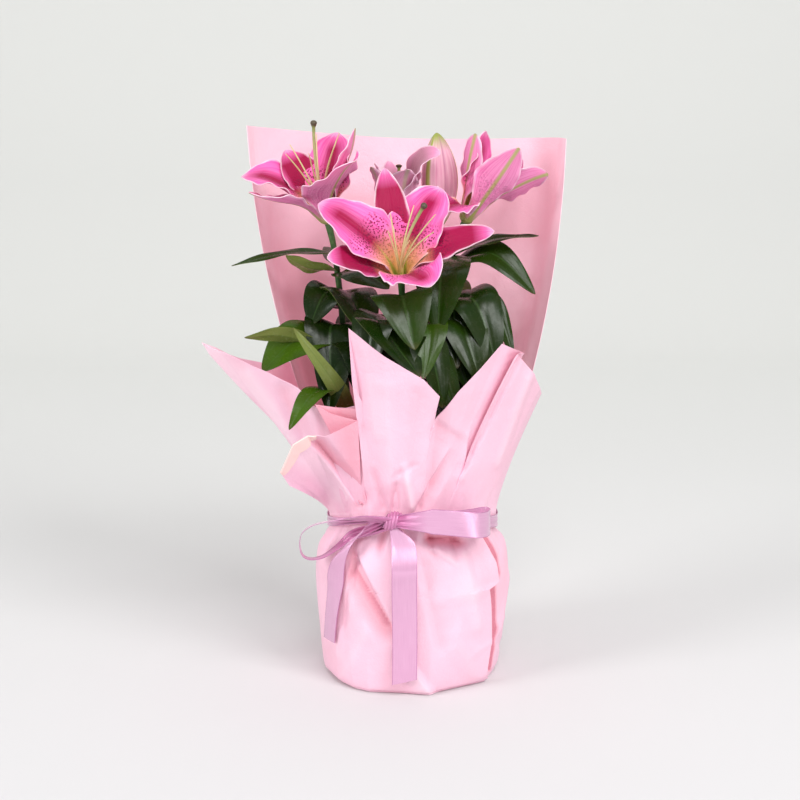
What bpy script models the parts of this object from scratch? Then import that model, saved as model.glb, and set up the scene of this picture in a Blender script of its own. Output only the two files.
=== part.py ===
"""A potted oriental lily in its florist's wrap, in metres, +Z up.

Three lily stems stand in a round nursery pot of compost. A square sheet of paper is folded up
round the pot, a second sheet covers the front, a tall sheet stands behind the plant, and one
length of satin ribbon ties them together above the pot's rim with a bow.

The origin is the middle of the underside. The front, with the bow, faces -Y.
"""

import math

import bmesh
import bpy
import numpy as np
from mathutils import Matrix

MM = 0.001
UP = np.array([0.0, 0.0, 1.0])
RESTING_GAP = 0.3 * MM
SEAM_WELD = 0.02 * MM  # joins the seam of a rolled sheet, and a tube's caps to its side
SCRAP_WELD = 0.004 * MM  # closes slivers that a union leaves

# Nursery pot
POT_HEIGHT = 126 * MM
POT_RIM_RADIUS = 82 * MM
POT_FOOT_RADIUS = 62 * MM
POT_WALL = 1.6 * MM
POT_RIM_HEIGHT = 11 * MM
POT_RIM_LIP = 3 * MM
POT_SIDES = 32
DRAIN_HOLES = 4
DRAIN_RADIUS = 5 * MM
DRAIN_CIRCLE = 40 * MM

# Compost
SOIL_TOP = 112 * MM
SOIL_LUMP = 2.2 * MM
SOIL_RINGS = (0, 0.3, 0.6, 0.85, 1)
SOIL_CALM_EDGE = 0.05  # the share of the radius, at the pot's wall, that stays level
STEM_HOLE_DEPTH = 36 * MM
STEM_HOLE_PLAY = 0.6 * MM

# Wrapping paper
PAPER = 0.8 * MM
LAYER_STEP = 2.0 * MM
TIE_HEIGHT = 147.5 * MM
TIE_FRONT_RISE = 15 * MM
TIE_RADIUS = 75 * MM
GATHERS = 9
GATHER_DEPTH = 2.2 * MM
FOLD_SIDES = 6
FOLD_DEPTH = 1.6 * MM

# Ribbon
RIBBON_WIDTH = 24 * MM
RIBBON_THICKNESS = 0.7 * MM
BAND_CLEARANCE = 1.4 * MM
BAND_RADIUS = TIE_RADIUS + LAYER_STEP + GATHER_DEPTH + BAND_CLEARANCE

# Plant
STEM_RADIUS = 4.2 * MM
STALK_RADIUS = 2.4 * MM
STALK_SEAT = 1.9 * MM
LEAF_THICKNESS = 0.8 * MM
TEPAL_THICKNESS = 0.8 * MM


def clear_scene():
    for obj in list(bpy.data.objects):
        bpy.data.objects.remove(obj, do_unlink=True)


def material(name, colour, roughness):
    made = bpy.data.materials.new(name)
    made.use_nodes = True
    shader = made.node_tree.nodes["Principled BSDF"]
    shader.inputs["Base Color"].default_value = (*colour, 1)
    shader.inputs["Roughness"].default_value = roughness
    shader.inputs["Metallic"].default_value = 0
    return made


def new_object(name, mesh, paint=None):
    obj = bpy.data.objects.new(name, mesh)
    PART.objects.link(obj)
    if paint:
        mesh.materials.clear()
        mesh.materials.append(paint)
    return obj


def new_collection(name):
    made = bpy.data.collections.new(name)
    bpy.context.scene.collection.children.link(made)
    return made


def unit(vector):
    vector = np.asarray(vector, float)
    return vector / np.linalg.norm(vector)


def ring_point(radius, angle, height):
    return np.array([radius * math.cos(angle), radius * math.sin(angle), height])


def sheet(name, across, along, surface, thickness, flip=False):
    """A thin blade: a grid carried onto surface(u, v), u and v from 0 to 1, and thickened."""
    shell = bmesh.new()
    bmesh.ops.create_grid(shell, x_segments=across, y_segments=along, size=0.5)
    for vertex in shell.verts:
        vertex.co = surface(vertex.co.x + 0.5, vertex.co.y + 0.5)
    bmesh.ops.remove_doubles(shell, verts=shell.verts, dist=SEAM_WELD)
    if flip:
        bmesh.ops.reverse_faces(shell, faces=shell.faces)
    bmesh.ops.triangulate(shell, faces=shell.faces)
    mesh = bpy.data.meshes.new(name)
    shell.to_mesh(mesh)
    shell.free()
    mesh.shade_smooth()
    obj = new_object(name, mesh)
    solid = obj.modifiers.new("Thickness", "SOLIDIFY")
    solid.thickness = thickness
    solid.offset = 0
    return obj


def tube(name, points, radii, sides=8):
    """A stem or stalk: a poly curve with a round bevel that swells and tapers, made a welded mesh."""
    curve = bpy.data.curves.new(name, "CURVE")
    curve.dimensions = "3D"
    curve.bevel_depth = 1
    curve.bevel_resolution = (sides - 4) // 2
    curve.use_fill_caps = True
    spline = curve.splines.new("POLY")
    spline.points.add(len(points) - 1)
    for point, place, radius in zip(spline.points, points, radii):
        point.co = (*place, 1)
        point.radius = radius
    guide = bpy.data.objects.new(name, curve)
    PART.objects.link(guide)
    mesh = evaluated_mesh(guide)
    bpy.data.objects.remove(guide)
    welded = bmesh.new()
    welded.from_mesh(mesh)
    bmesh.ops.remove_doubles(welded, verts=welded.verts, dist=SCRAP_WELD)
    bmesh.ops.recalc_face_normals(welded, faces=welded.faces)
    welded.to_mesh(mesh)
    welded.free()
    return new_object(name, mesh)


def turned(name, profile, sides):
    """A solid of revolution: the profile runs down its outer side, from axis to axis."""
    mesh = bpy.data.meshes.new(name)
    points = [(radius, 0, height) for radius, height in profile]
    mesh.from_pydata(points, [(i, i + 1) for i in range(len(points) - 1)], [])
    obj = new_object(name, mesh)
    screw = obj.modifiers.new("Turn", "SCREW")
    screw.steps = screw.render_steps = sides
    screw.use_merge_vertices = True
    screw.merge_threshold = 0.00001
    return obj


def evaluated_mesh(obj):
    bpy.context.view_layer.update()
    graph = bpy.context.evaluated_depsgraph_get()
    return bpy.data.meshes.new_from_object(obj.evaluated_get(graph))


def fuse(name, pieces, paint):
    """Joins the pieces into one solid with one Boolean union, and removes them."""
    core, *others = pieces
    joined = new_collection(name + "_pieces")
    for piece in others:
        joined.objects.link(piece)
    union = core.modifiers.new("Union", "BOOLEAN")
    union.operation = "UNION"
    union.operand_type = "COLLECTION"
    union.collection = joined
    union.solver = "MANIFOLD"
    mesh = evaluated_mesh(core)
    for piece in pieces:
        bpy.data.objects.remove(piece)
    bpy.data.collections.remove(joined)
    keep_main_body(mesh)
    return new_object(name, mesh, paint)


def keep_main_body(mesh):
    """Fills each hollow that the union sealed and drops loose scraps: only the largest skin stays."""
    shape = bmesh.new()
    shape.from_mesh(mesh)
    bmesh.ops.remove_doubles(shape, verts=shape.verts, dist=SCRAP_WELD)
    bmesh.ops.dissolve_degenerate(shape, edges=shape.edges, dist=SCRAP_WELD)
    bmesh.ops.triangulate(shape, faces=shape.faces)
    seen = set()
    skins = []
    for first in shape.faces:
        if first in seen:
            continue
        seen.add(first)
        skin = [first]
        for face in skin:
            for neighbour in face_neighbours(face):
                if neighbour not in seen:
                    seen.add(neighbour)
                    skin.append(neighbour)
        skins.append(skin)
    skins.sort(key=len)
    for skin in skins[:-1]:
        bmesh.ops.delete(shape, geom=skin, context="FACES")
    shape.to_mesh(mesh)
    shape.free()


def face_neighbours(face):
    """The faces across its edges, leaving out the edges where two skins touch."""
    return [other for edge in face.edges if len(edge.link_faces) == 2 for other in edge.link_faces]


def cut(obj, cutters):
    """Cuts the cutters from the object and applies the cut."""
    holes = new_collection(obj.name + "_holes")
    for cutter in cutters:
        cutter.hide_render = True
        cutter.display_type = "WIRE"
        holes.objects.link(cutter)
    difference = obj.modifiers.new("Holes", "BOOLEAN")
    difference.operation = "DIFFERENCE"
    difference.operand_type = "COLLECTION"
    difference.collection = holes
    mesh = evaluated_mesh(obj)
    name = obj.name
    paint = obj.data.materials[0]
    for old in [obj, *cutters]:
        bpy.data.objects.remove(old)
    bpy.data.collections.remove(holes)
    return new_object(name, mesh, paint)


def cylinder(name, radius, low, high, x, y, sides=10):
    mesh = bpy.data.meshes.new(name)
    shape = bmesh.new()
    bmesh.ops.create_cone(
        shape, cap_ends=True, segments=sides, radius1=radius, radius2=radius, depth=high - low,
        matrix=Matrix.Translation((x, y, (low + high) / 2)),
    )
    shape.to_mesh(mesh)
    shape.free()
    return new_object(name, mesh)


def smooth_line(points, share):
    """A point a share of the way along a smooth curve through the points (Catmull-Rom)."""
    points = np.asarray(points, float)
    at = min(max(share, 0), 1) * (len(points) - 1)
    i = min(int(at), len(points) - 2)
    t = at - i
    before = points[max(i - 1, 0)]
    after = points[min(i + 2, len(points) - 1)]
    start, end = points[i], points[i + 1]
    return 0.5 * (
        2 * start
        + (end - before) * t
        + (2 * before - 5 * start + 4 * end - after) * t**2
        + (3 * (start - end) + after - before) * t**3
    )


# The pot and the compost


def nursery_pot(paint):
    foot = PAPER + RESTING_GAP
    top = foot + POT_HEIGHT
    neck = POT_RIM_RADIUS - POT_RIM_LIP
    profile = [
        (0, foot + POT_WALL),
        (POT_FOOT_RADIUS - POT_WALL, foot + POT_WALL),
        (neck - POT_WALL, top),
        (POT_RIM_RADIUS, top),
        (POT_RIM_RADIUS, top - POT_RIM_HEIGHT),
        (neck, top - POT_RIM_HEIGHT),
        (POT_FOOT_RADIUS, foot),
        (0, foot),
    ]
    pot = turned("nursery_pot", profile, POT_SIDES)
    pot.data.materials.append(paint)
    drains = []
    for i in range(DRAIN_HOLES):
        x, y, _ = ring_point(DRAIN_CIRCLE, math.tau * i / DRAIN_HOLES, 0)
        drains.append(cylinder(f"drain_{i}", DRAIN_RADIUS, -foot, foot + 3 * POT_WALL, x, y, 8))
    return cut(pot, drains)


def pot_inside_radius(height):
    """The pot's inner radius at a height, on its straight tapering wall."""
    foot = PAPER + RESTING_GAP + POT_WALL
    top = PAPER + RESTING_GAP + POT_HEIGHT
    low = POT_FOOT_RADIUS - POT_WALL
    high = POT_RIM_RADIUS - POT_RIM_LIP - POT_WALL
    return low + (high - low) * (height - foot) / (top - foot)


def soil_lump(x, y):
    """Low lumps, from three waves that cross."""
    return math.sin(190 * x + 1) * math.cos(170 * y) + 0.6 * math.sin(330 * x + 290 * y)


def compost(stems, paint):
    """Fills the pot, with a lumpy top and a plain hole for each stem."""
    floor = PAPER + RESTING_GAP + POT_WALL + RESTING_GAP
    edge = pot_inside_radius(SOIL_TOP) - 2 * RESTING_GAP
    foot = pot_inside_radius(floor) - 2 * RESTING_GAP
    profile = [(edge * share, SOIL_TOP) for share in SOIL_RINGS] + [(foot, floor), (0, floor)]
    guide = turned("soil_guide", profile, POT_SIDES)
    mesh = evaluated_mesh(guide)
    bpy.data.objects.remove(guide)
    for vertex in mesh.vertices:
        x, y, z = vertex.co
        inward = 1 - math.hypot(x, y) / edge
        if z > SOIL_TOP - MM and inward > SOIL_CALM_EDGE:
            vertex.co.z = z + SOIL_LUMP * soil_lump(x, y) * min(1, 4 * inward)
    soil = new_object("compost", mesh, paint)
    low = SOIL_TOP - STEM_HOLE_DEPTH - RESTING_GAP
    high = SOIL_TOP + 10 * SOIL_LUMP
    holes = []
    for i, line in enumerate(stems):
        x, y, _ = line[0]
        holes.append(cylinder(f"hole_{i}", STEM_RADIUS + STEM_HOLE_PLAY, low, high, x, y))
    return cut(soil, holes)


# The wrapping paper

# Radius and height of the wrap round the pot, from the middle of its base to the tie.
BODY_PROFILE = np.array([
    (0, 0), (66, 0), (76, 4), (81.5, 14), (87, 44), (90, 90), (89, 114), (85.5, 128),
]) * MM
NECK_HALF = 7.5 * MM
BODY_ROWS = len(BODY_PROFILE) + 1

# Rim of the base sheet, from the front by the left, the back and the right to the front again.
BASE_RIM = np.array([
    (0, -77, 200), (-28, -82, 244), (-52, -84, 274), (-77, -80, 267), (-90, -75, 272), (-103, -68, 286),
    (-130, -56, 298), (-162, -43, 310), (-194, -30, 322), (-172, 8, 303), (-146, 46, 288), (-112, 86, 284),
    (-66, 116, 296), (-12, 134, 338), (46, 119, 300), (82, 84, 272), (92, 44, 246), (88, 6, 200),
    (80, -24, 200), (62, -46, 198), (42, -63, 196), (20, -73, 196),
]) * MM

# Rim of the front sheet, from its left edge to its right edge.
FRONT_RIM = np.array([
    (-112, -78, 199), (-119, -96, 214), (-110, -105, 238), (-92, -106, 251), (-77, -101, 250),
    (-61, -95, 262), (-54, -94, 240), (-55, -106, 298), (-57, -113, 349), (-26, -118, 320), (9, -118, 303),
    (23, -112, 288), (22, -103, 264), (39, -100, 288), (60, -92, 311), (80, -80, 328), (92, -62, 323),
    (98, -72, 314), (108, -56, 298), (116, -34, 282), (121, 2, 268),
]) * MM
FRONT_FROM = math.radians(-168)
FRONT_TO_LOW = math.radians(-31)
FRONT_TO_HIGH = math.radians(-6)
FRONT_LIFT = 3.2 * MM

# Top edge of the back sheet, from left to right, and how its foot spreads round the pot's mouth.
BACK_RIM = np.array([
    (-153, 14, 517), (-146, 46, 514), (-122, 72, 510), (-79, 90, 505), (-36, 101, 501), (7, 105, 499),
    (46, 101, 499), (83, 90, 500), (116, 72, 502), (136, 44, 504), (141, 12, 505),
]) * MM
BACK_FROM = math.radians(182)
BACK_TO = math.radians(-2)
BACK_KNEES = ((0.08, 0.17), (0.86, 0.48))
BACK_FOOT = SOIL_TOP + 1.2 * MM
BACK_FOOT_RADIUS = 69.5 * MM
BACK_FOOT_ROWS = 2
BACK_FLARE_ROWS = 6
BACK_STEP_IN = -1.1 * LAYER_STEP  # the back sheet passes inside the base sheet at the tie


def tie_height(angle):
    """The tie runs level round the back and sides and climbs to the knot at the front."""
    return TIE_HEIGHT + TIE_FRONT_RISE * max(0, -math.sin(angle)) ** 1.5


def gather(angle):
    """The pleats at the tie, from -1 to 1 round the neck."""
    return 0.7 * math.cos(GATHERS * angle + 0.6) + 0.3 * math.cos(5 * angle + 2.1)


def body_point(angle, share, out=0.0):
    """A point of the wrap round the pot: share runs from 0, the middle of the base, to 1, the tie.

    The profile turns round the pot, out moves it along its own normal, the gathers deepen with
    height up to the tie, and six soft folds, where the paper is bent round the pot, fade with it.
    """
    stops = wrap_stops(angle)
    at = share * BODY_ROWS
    i = min(int(at), BODY_ROWS - 1)
    radius, height = stops[i] + (at - i) * (stops[i + 1] - stops[i])
    before, after = stops[max(math.ceil(at) - 1, 0)], stops[min(int(at) + 1, BODY_ROWS)]
    rise = unit(after - before)
    pleat = GATHER_DEPTH * gather(angle) * min(1, max(0, height / TIE_HEIGHT)) ** 1.5
    from_middle = min(1, radius / BODY_PROFILE[2, 0]) ** 3
    fold = FOLD_DEPTH * math.cos(FOLD_SIDES * angle + 0.9) * from_middle * (1 - share)
    radius = max(0, radius + out * rise[1] + pleat + fold)
    return ring_point(radius, angle, height - out * rise[0] + PAPER / 2)


def wrap_stops(angle):
    """The wrap's radius and height at its rows, with the straight neck that the ribbon goes round."""
    tie = tie_height(angle)
    return np.array([*BODY_PROFILE, (TIE_RADIUS, tie - NECK_HALF), (TIE_RADIUS, tie + NECK_HALF)])


def flare(foot, rim, share, first, second):
    """The paper's path from the tie to the rim: a cubic curve with two knees, each so far out and up."""
    reach = rim - foot
    near = foot + reach * (first[0], first[0], first[1])
    far = foot + reach * (second[0], second[0], second[1])
    back = 1 - share
    return back**3 * foot + 3 * back**2 * share * near + 3 * back * share**2 * far + share**3 * rim


def rim_between(rim, share, closed=False):
    """A point along the rim's outline, straight between its points, so its corners stay sharp."""
    count = len(rim) if closed else len(rim) - 1
    at = share * count
    i = min(int(at), count - 1)
    return rim[i] + (at - i) * (rim[(i + 1) % len(rim)] - rim[i])


BASE_FLARE_ROWS = 4
BASE_KNEES = ((0.28, 0.24), (0.62, 0.56))
ROW_END = 1e-6  # a grid row this close past the tie still belongs to the body


def base_sheet(paint):
    """The square sheet: flat under the pot, up its sides, through the tie and out to four corners."""
    rows = BODY_ROWS + BASE_FLARE_ROWS

    def surface(u, v):
        angle = -math.pi / 2 - math.tau * u
        at = v * rows
        if at <= BODY_ROWS + ROW_END:
            return body_point(angle, min(1, at / BODY_ROWS))
        share = (at - BODY_ROWS) / BASE_FLARE_ROWS
        foot = body_point(angle, 1)
        return flare(foot, rim_between(BASE_RIM, u % 1, closed=True), share, *BASE_KNEES)

    obj = sheet("base_sheet", 2 * len(BASE_RIM), rows, surface, PAPER, flip=True)
    obj.data.materials.append(paint)
    return obj


FRONT_LOW_ROW = 2.25
FRONT_BODY_ROWS = BODY_ROWS - math.floor(FRONT_LOW_ROW)
FRONT_FLARE_ROWS = 5
FRONT_LOW_SHARE = FRONT_LOW_ROW / BODY_ROWS
FRONT_KNEES = ((0.20, 0.32), (0.56, 0.64))
FRONT_FREE_EDGE = 0.14  # the share of its width that stands off the base sheet, at the right


def front_angle(across, height_share):
    """The front sheet's own angle round the pot: its right edge leans back towards the tie."""
    right = FRONT_TO_LOW + (FRONT_TO_HIGH - FRONT_TO_LOW) * height_share
    return FRONT_FROM + (right - FRONT_FROM) * across


def front_body_point(across, share):
    """The front sheet on the pot, a step outside the base sheet; its right edge stands off."""
    height_share = (share - FRONT_LOW_SHARE) / (1 - FRONT_LOW_SHARE)
    free = max(0, 1 - (1 - across) / FRONT_FREE_EDGE) ** 2
    lift = FRONT_LIFT * free * math.sin(math.pi * min(1, 1.2 * height_share))
    return body_point(front_angle(across, height_share), share, LAYER_STEP + lift)


def front_sheet(paint):
    """The second sheet, over the front of the pot: a tall point, a turned left corner, a right fold."""
    rows = FRONT_BODY_ROWS + FRONT_FLARE_ROWS
    first = math.floor(FRONT_LOW_ROW)

    def surface(u, v):
        at = v * rows
        if at <= FRONT_BODY_ROWS + ROW_END:
            row = max(first + at, FRONT_LOW_ROW + at * (first + 1 - FRONT_LOW_ROW))
            return front_body_point(u, min(1, row / BODY_ROWS))
        foot = front_body_point(u, 1)
        rim = rim_between(FRONT_RIM, u)
        return flare(foot, rim, (at - FRONT_BODY_ROWS) / FRONT_FLARE_ROWS, *FRONT_KNEES)

    obj = sheet("front_sheet", len(FRONT_RIM) - 1, rows, surface, PAPER)
    obj.data.materials.append(paint)
    return obj


def back_sheet(paint):
    """The tall sheet behind the plant: its foot stands in the pot's mouth, its margins curve forward."""
    rows = BACK_FOOT_ROWS + BACK_FLARE_ROWS

    def surface(u, v):
        angle = BACK_FROM + (BACK_TO - BACK_FROM) * u
        at = v * rows
        neck = body_point(angle, 1, BACK_STEP_IN)
        if at <= BACK_FOOT_ROWS:
            foot = ring_point(BACK_FOOT_RADIUS, angle, BACK_FOOT)
            return foot + (neck - foot) * at / BACK_FOOT_ROWS
        return flare(neck, rim_between(BACK_RIM, u), (at - BACK_FOOT_ROWS) / BACK_FLARE_ROWS, *BACK_KNEES)

    obj = sheet("back_sheet", len(BACK_RIM) + 3, rows, surface, PAPER)
    obj.data.materials.append(paint)
    return obj


# The ribbon

# Middle line of the right loop, from the knot out and back again, and of the left loop likewise.
RIGHT_LOOP = np.array([
    (-12, -90, 162), (8, -97, 162), (32, -99, 162), (56, -90, 162), (75, -73, 161), (80, -63, 160),
    (74, -59, 159), (56, -75, 159), (32, -88, 159), (8, -92, 160), (-12, -90, 160),
]) * MM
LEFT_LOOP = np.array([
    (-12, -91, 163), (-34, -91, 167), (-58, -86, 168), (-80, -77, 163), (-98, -68, 152), (-107, -64, 140),
    (-104, -65, 127), (-91, -70, 122), (-75, -78, 128), (-56, -87, 141), (-34, -92, 152), (-12, -91, 161),
]) * MM
# Each tail as (angle round the wrap in degrees, height in mm), from the knot down.
FRONT_TAIL = ((-99, 160), (-97, 140), (-96, 118), (-95, 90), (-95, 55), (-95, 20))
LEFT_TAIL = ((-103, 159), (-116, 148), (-132, 136), (-142, 118), (-145, 92), (-148, 68), (-150, 48))
TAIL_GAP = 2.6 * MM
TAIL_SLANT = 6 * MM  # how much longer one side of a cut end is
TAIL_TURN_RADIUS = 90  # mm from the wrap's axis, for the slope of a tail that runs aside
KNOT_PLACE = np.array([-12, -85, 161]) * MM
KNOT_SIZE = (9 * MM, 7 * MM, 8 * MM)
BAND_NARROW = -99  # degrees round the wrap, at the knot
BAND_SCRUNCH = 0.60  # the band's width as a share of the ribbon's
BAND_SEGMENTS = 36
LOOP_SEGMENTS = 15
TAIL_SEGMENTS = 8


def ribbon_loop(name, line, width_from, width_to):
    """A bow loop: the line carries the ribbon's width, gathered small at the knot.

    The width points along width_from where the loop leaves the knot and turns to width_to.
    """

    def surface(u, v):
        spread = min(1, 0.3 + 3.2 * min(v, 1 - v))
        direction = unit((1 - v) * np.asarray(width_from) + v * np.asarray(width_to))
        return smooth_line(line, v) + direction * (u - 0.5) * RIBBON_WIDTH * spread

    return sheet(name, 1, LOOP_SEGMENTS, surface, RIBBON_THICKNESS)


def body_radius(angle, height):
    """How far out the front sheet's outer face is, at an angle and height below the tie."""
    heights = wrap_stops(angle)[1:, 1]
    share = np.interp(height, heights, np.arange(1, BODY_ROWS + 1)) / BODY_ROWS
    x, y, _ = body_point(angle, share, LAYER_STEP)
    return math.hypot(x, y) + PAPER / 2


def ribbon_tail(name, stops, slant):
    """A tail that leaves the knot and hangs down the wrap, with its end cut on the slant."""

    def surface(u, v):
        angle, height = smooth_line(stops, v)
        turn, drop = smooth_line(stops, min(1, v + 0.05)) - smooth_line(stops, max(0, v - 0.05))
        angle = math.radians(angle)
        level, steep = unit([-drop, math.radians(turn) * TAIL_TURN_RADIUS])
        spread = (u - 0.5) * RIBBON_WIDTH * min(1, 0.35 + 4 * v)
        height = height * MM - steep * spread + slant * (u - 0.5) * max(0, v - 0.8)
        angle += level * spread / body_radius(angle, height)
        lying = body_radius(angle, height) + TAIL_GAP
        loose = max(0, 1 - 4 * v) ** 2
        from_knot = math.hypot(*KNOT_PLACE[:2]) - lying
        return ring_point(lying + from_knot * loose, angle, height)

    return sheet(name, 2, TAIL_SEGMENTS, surface, RIBBON_THICKNESS)


def ribbon_band():
    """The turn of ribbon round the neck, scrunched narrow at the knot."""

    def surface(u, v):
        angle = math.tau * v
        from_knot = abs((math.degrees(angle) - BAND_NARROW + 180) % 360 - 180)
        width = RIBBON_WIDTH * min(BAND_SCRUNCH, 0.4 + from_knot / 90)
        return ring_point(BAND_RADIUS, angle, tie_height(angle) + (u - 0.5) * width)

    return sheet("band", 1, BAND_SEGMENTS, surface, RIBBON_THICKNESS)


def ribbon_knot():
    mesh = bpy.data.meshes.new("knot")
    shape = bmesh.new()
    bmesh.ops.create_uvsphere(shape, u_segments=8, v_segments=5, radius=1)
    bmesh.ops.scale(shape, vec=KNOT_SIZE, verts=shape.verts)
    bmesh.ops.translate(shape, vec=KNOT_PLACE, verts=shape.verts)
    shape.to_mesh(mesh)
    shape.free()
    return new_object("knot", mesh)


def ribbon(paint):
    pieces = [
        ribbon_knot(),
        ribbon_band(),
        ribbon_loop("loop_right", RIGHT_LOOP, (0, -0.1, 1), (0, 0.1, 1)),
        ribbon_loop("loop_left", LEFT_LOOP, (0.1, -1, 0.25), (0.1, -1, -0.2)),
        ribbon_tail("tail_front", FRONT_TAIL, TAIL_SLANT),
        ribbon_tail("tail_left", LEFT_TAIL, -TAIL_SLANT),
    ]
    return fuse("ribbon", pieces, paint)


# The stems and leaves

# Middle line of each stem, from its foot in the compost to its top.
STEM_LINES = {
    "left": np.array([
        (-34, 2, 77), (-34, 2, 116), (-37, 2, 150), (-52, 1, 205), (-62, 0, 270), (-66, -2, 345),
        (-72, -8, 402),
    ]) * MM,
    "front": np.array([
        (-7, -38, 77), (-7, -38, 116), (-7, -39, 150), (-8, -43, 205), (-8, -47, 270), (-9, -50, 330),
        (-10, -53, 362),
    ]) * MM,
    "right": np.array([
        (24, 14, 77), (24, 14, 116), (24, 14, 150), (24, 13, 205), (25, 12, 270), (27, 12, 340),
        (31, 13, 396),
    ]) * MM,
}
STEM_TAPER = 0.35
STEM_SIDES = 6
STALK_SWELL = 0.2 * MM  # how much thicker a stalk gets at each of its points, towards the bloom

# The blooms that each stem carries, with the height where the stalk of each leaves the stem.
STALKS = {
    "left": (("left", 396),),
    "front": (("front", 356),),
    "right": (("bud", 388), ("right", 376), ("back", 358)),
}

# Leaves that give the plant its outline: height of the root on the stem, a point halfway, the tip
# and the width, all in mm, and the twist in degrees.
LEAVES = {
    "left": (
        (402, (-118, -12, 402), (-166, -24, 392), 15, 10),
        (385, (-95, -16, 389), (-116, -28, 402), 20, 20),
        (349, (-87, 12, 354), (-92, 22, 328), 28, 0),
        (340, (-86, -16, 338), (-98, -24, 310), 38, 0),
        (319, (-104, -26, 325), (-138, -40, 296), 34, -25),
        (289, (-112, -36, 323), (-154, -50, 331), 17, 20),
        (270, (-84, -30, 307), (-113, -48, 340), 18, -25),
        (262, (-80, -62, 285), (-112, -94, 250), 15, 10),
        (361, (-48, -34, 362), (-44, -60, 316), 36, 0),
        (380, (-62, -34, 384), (-58, -60, 342), 34, 0),
        (392, (-68, 34, 399), (-58, 60, 384), 26, 0),
        (330, (-44, 30, 337), (-30, 58, 316), 30, 0),
        (322, (-54, -32, 330), (-52, -62, 292), 34, 0),
        (280, (-46, -28, 292), (-38, -58, 272), 32, 0),
        (300, (-66, 24, 306), (-70, 42, 290), 26, 0),
        (222, (-66, -16, 232), (-80, -30, 226), 22, 0),
    ),
    "front": (
        (352, (0, -80, 360), (8, -98, 318), 46, 0),
        (340, (-28, -76, 348), (-38, -92, 304), 42, 0),
        (340, (14, -76, 350), (20, -94, 302), 40, 10),
        (322, (10, -70, 322), (24, -84, 266), 28, 0),
        (310, (-26, -64, 314), (-42, -78, 284), 34, 0),
        (296, (14, -66, 304), (34, -78, 286), 34, 0),
        (330, (-24, -30, 334), (-28, -12, 308), 26, 0),
        (300, (0, -24, 308), (4, -6, 286), 28, 0),
        (262, (-24, -66, 272), (-40, -74, 256), 28, 0),
        (270, (12, -62, 282), (30, -70, 262), 30, 0),
        (346, (12, -30, 352), (18, -8, 330), 30, 0),
    ),
    "right": (
        (394, (74, -8, 414), (114, -28, 420), 17, 0),
        (391, (42, -34, 398), (38, -69, 342), 42, 0),
        (384, (74, -6, 400), (112, -24, 365), 26, 0),
        (366, (70, -6, 364), (92, -20, 310), 20, 10),
        (350, (60, -26, 356), (76, -44, 316), 40, 0),
        (334, (50, -34, 334), (62, -58, 293), 36, 0),
        (312, (38, -22, 312), (48, -44, 276), 36, 0),
        (306, (64, -8, 330), (79, -30, 297), 20, 0),
        (365, (37, 44, 370), (56, 68, 348), 26, 0),
        (330, (12, 40, 336), (-4, 64, 312), 32, 0),
        (380, (8, 42, 384), (-4, 64, 362), 28, 0),
        (268, (50, -4, 280), (66, -10, 266), 30, 0),
        (240, (30, 46, 252), (30, 70, 246), 24, 0),
    ),
}
LEAF_SEGMENTS = 6
LEAF_WAVE = 0.9 * MM
LEAF_FOLD = 0.30  # how steeply each half of a leaf rises from its midrib


def leaf_width(share):
    """A lance shape: narrow at the stem, widest a third of the way out, drawn to a point."""
    blade = math.sin(math.pi * share**0.72) ** 0.85 * (1 - 0.35 * share)
    return 0.30 * (1 - share) ** 6 + 1.02 * blade + 0.03


def leaf(name, line, row, phase):
    """An arched blade with a channel along its midrib and a waved margin, rooted in the stem."""
    height, middle, tip, width, twist = row
    root = stem_point(line, height * MM)
    route = np.array([root, np.array(middle) * MM, np.array(tip) * MM])
    side = np.cross(UP, unit((route[2] - root) * (1, 1, 0)))

    def surface(u, v):
        along = unit(smooth_line(route, v + 0.02) - smooth_line(route, v - 0.02))
        above = unit(np.cross(along, side))
        lean = math.radians(twist) * v
        across = math.cos(lean) * side + math.sin(lean) * above
        above = np.cross(along, across)
        half = 2 * u - 1
        offset = half * width * MM / 2 * leaf_width(v)
        wave = LEAF_WAVE * half * half * math.sin(13 * v + phase + 2 * half) * math.sin(math.pi * v)
        return smooth_line(route, v) + across * offset + above * (LEAF_FOLD * abs(offset) + wave)

    return sheet(name, 2, LEAF_SEGMENTS, surface, LEAF_THICKNESS)


def stem_point(line, height):
    """The point of the stem's middle line at a height."""
    shares = np.linspace(0, 1, 61)
    heights = [smooth_line(line, share)[2] for share in shares]
    return smooth_line(line, float(np.interp(height, heights, shares)))


def stalk_line(line, height, bloom):
    """From the stem, out and up, and into the foot of the bloom along its axis."""
    foot = np.array(BLOOMS[bloom]["foot"]) * MM
    facing = unit(BLOOMS[bloom]["facing"])
    start = stem_point(line, height * MM)
    end = foot - facing * (STALK_SEAT if bloom in OPEN_BLOOMS else RESTING_GAP)
    knee = end - facing * 0.55 * np.linalg.norm(end - start)
    return [(1 - t) ** 2 * start + 2 * t * (1 - t) * knee + t**2 * end for t in (0, 0.25, 0.5, 0.75, 1)]


def leafy_stem(which, paint):
    line = STEM_LINES[which]
    radii = [STEM_RADIUS * (1 - STEM_TAPER * i / (len(line) - 1)) for i in range(len(line))]
    pieces = [tube(which, line, radii, STEM_SIDES)]
    for bloom, height in STALKS[which]:
        places = stalk_line(line, height, bloom)
        swelling = [STALK_RADIUS + STALK_SWELL * i for i in range(len(places))]
        pieces.append(tube(f"stalk_{bloom}", places, swelling, STEM_SIDES))
    for i, row in enumerate(LEAVES[which]):
        pieces.append(leaf(f"leaf_{i}", line, row, 1.9 * i))
    return fuse(f"stem_{which}", pieces, paint)


# The blooms

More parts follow.
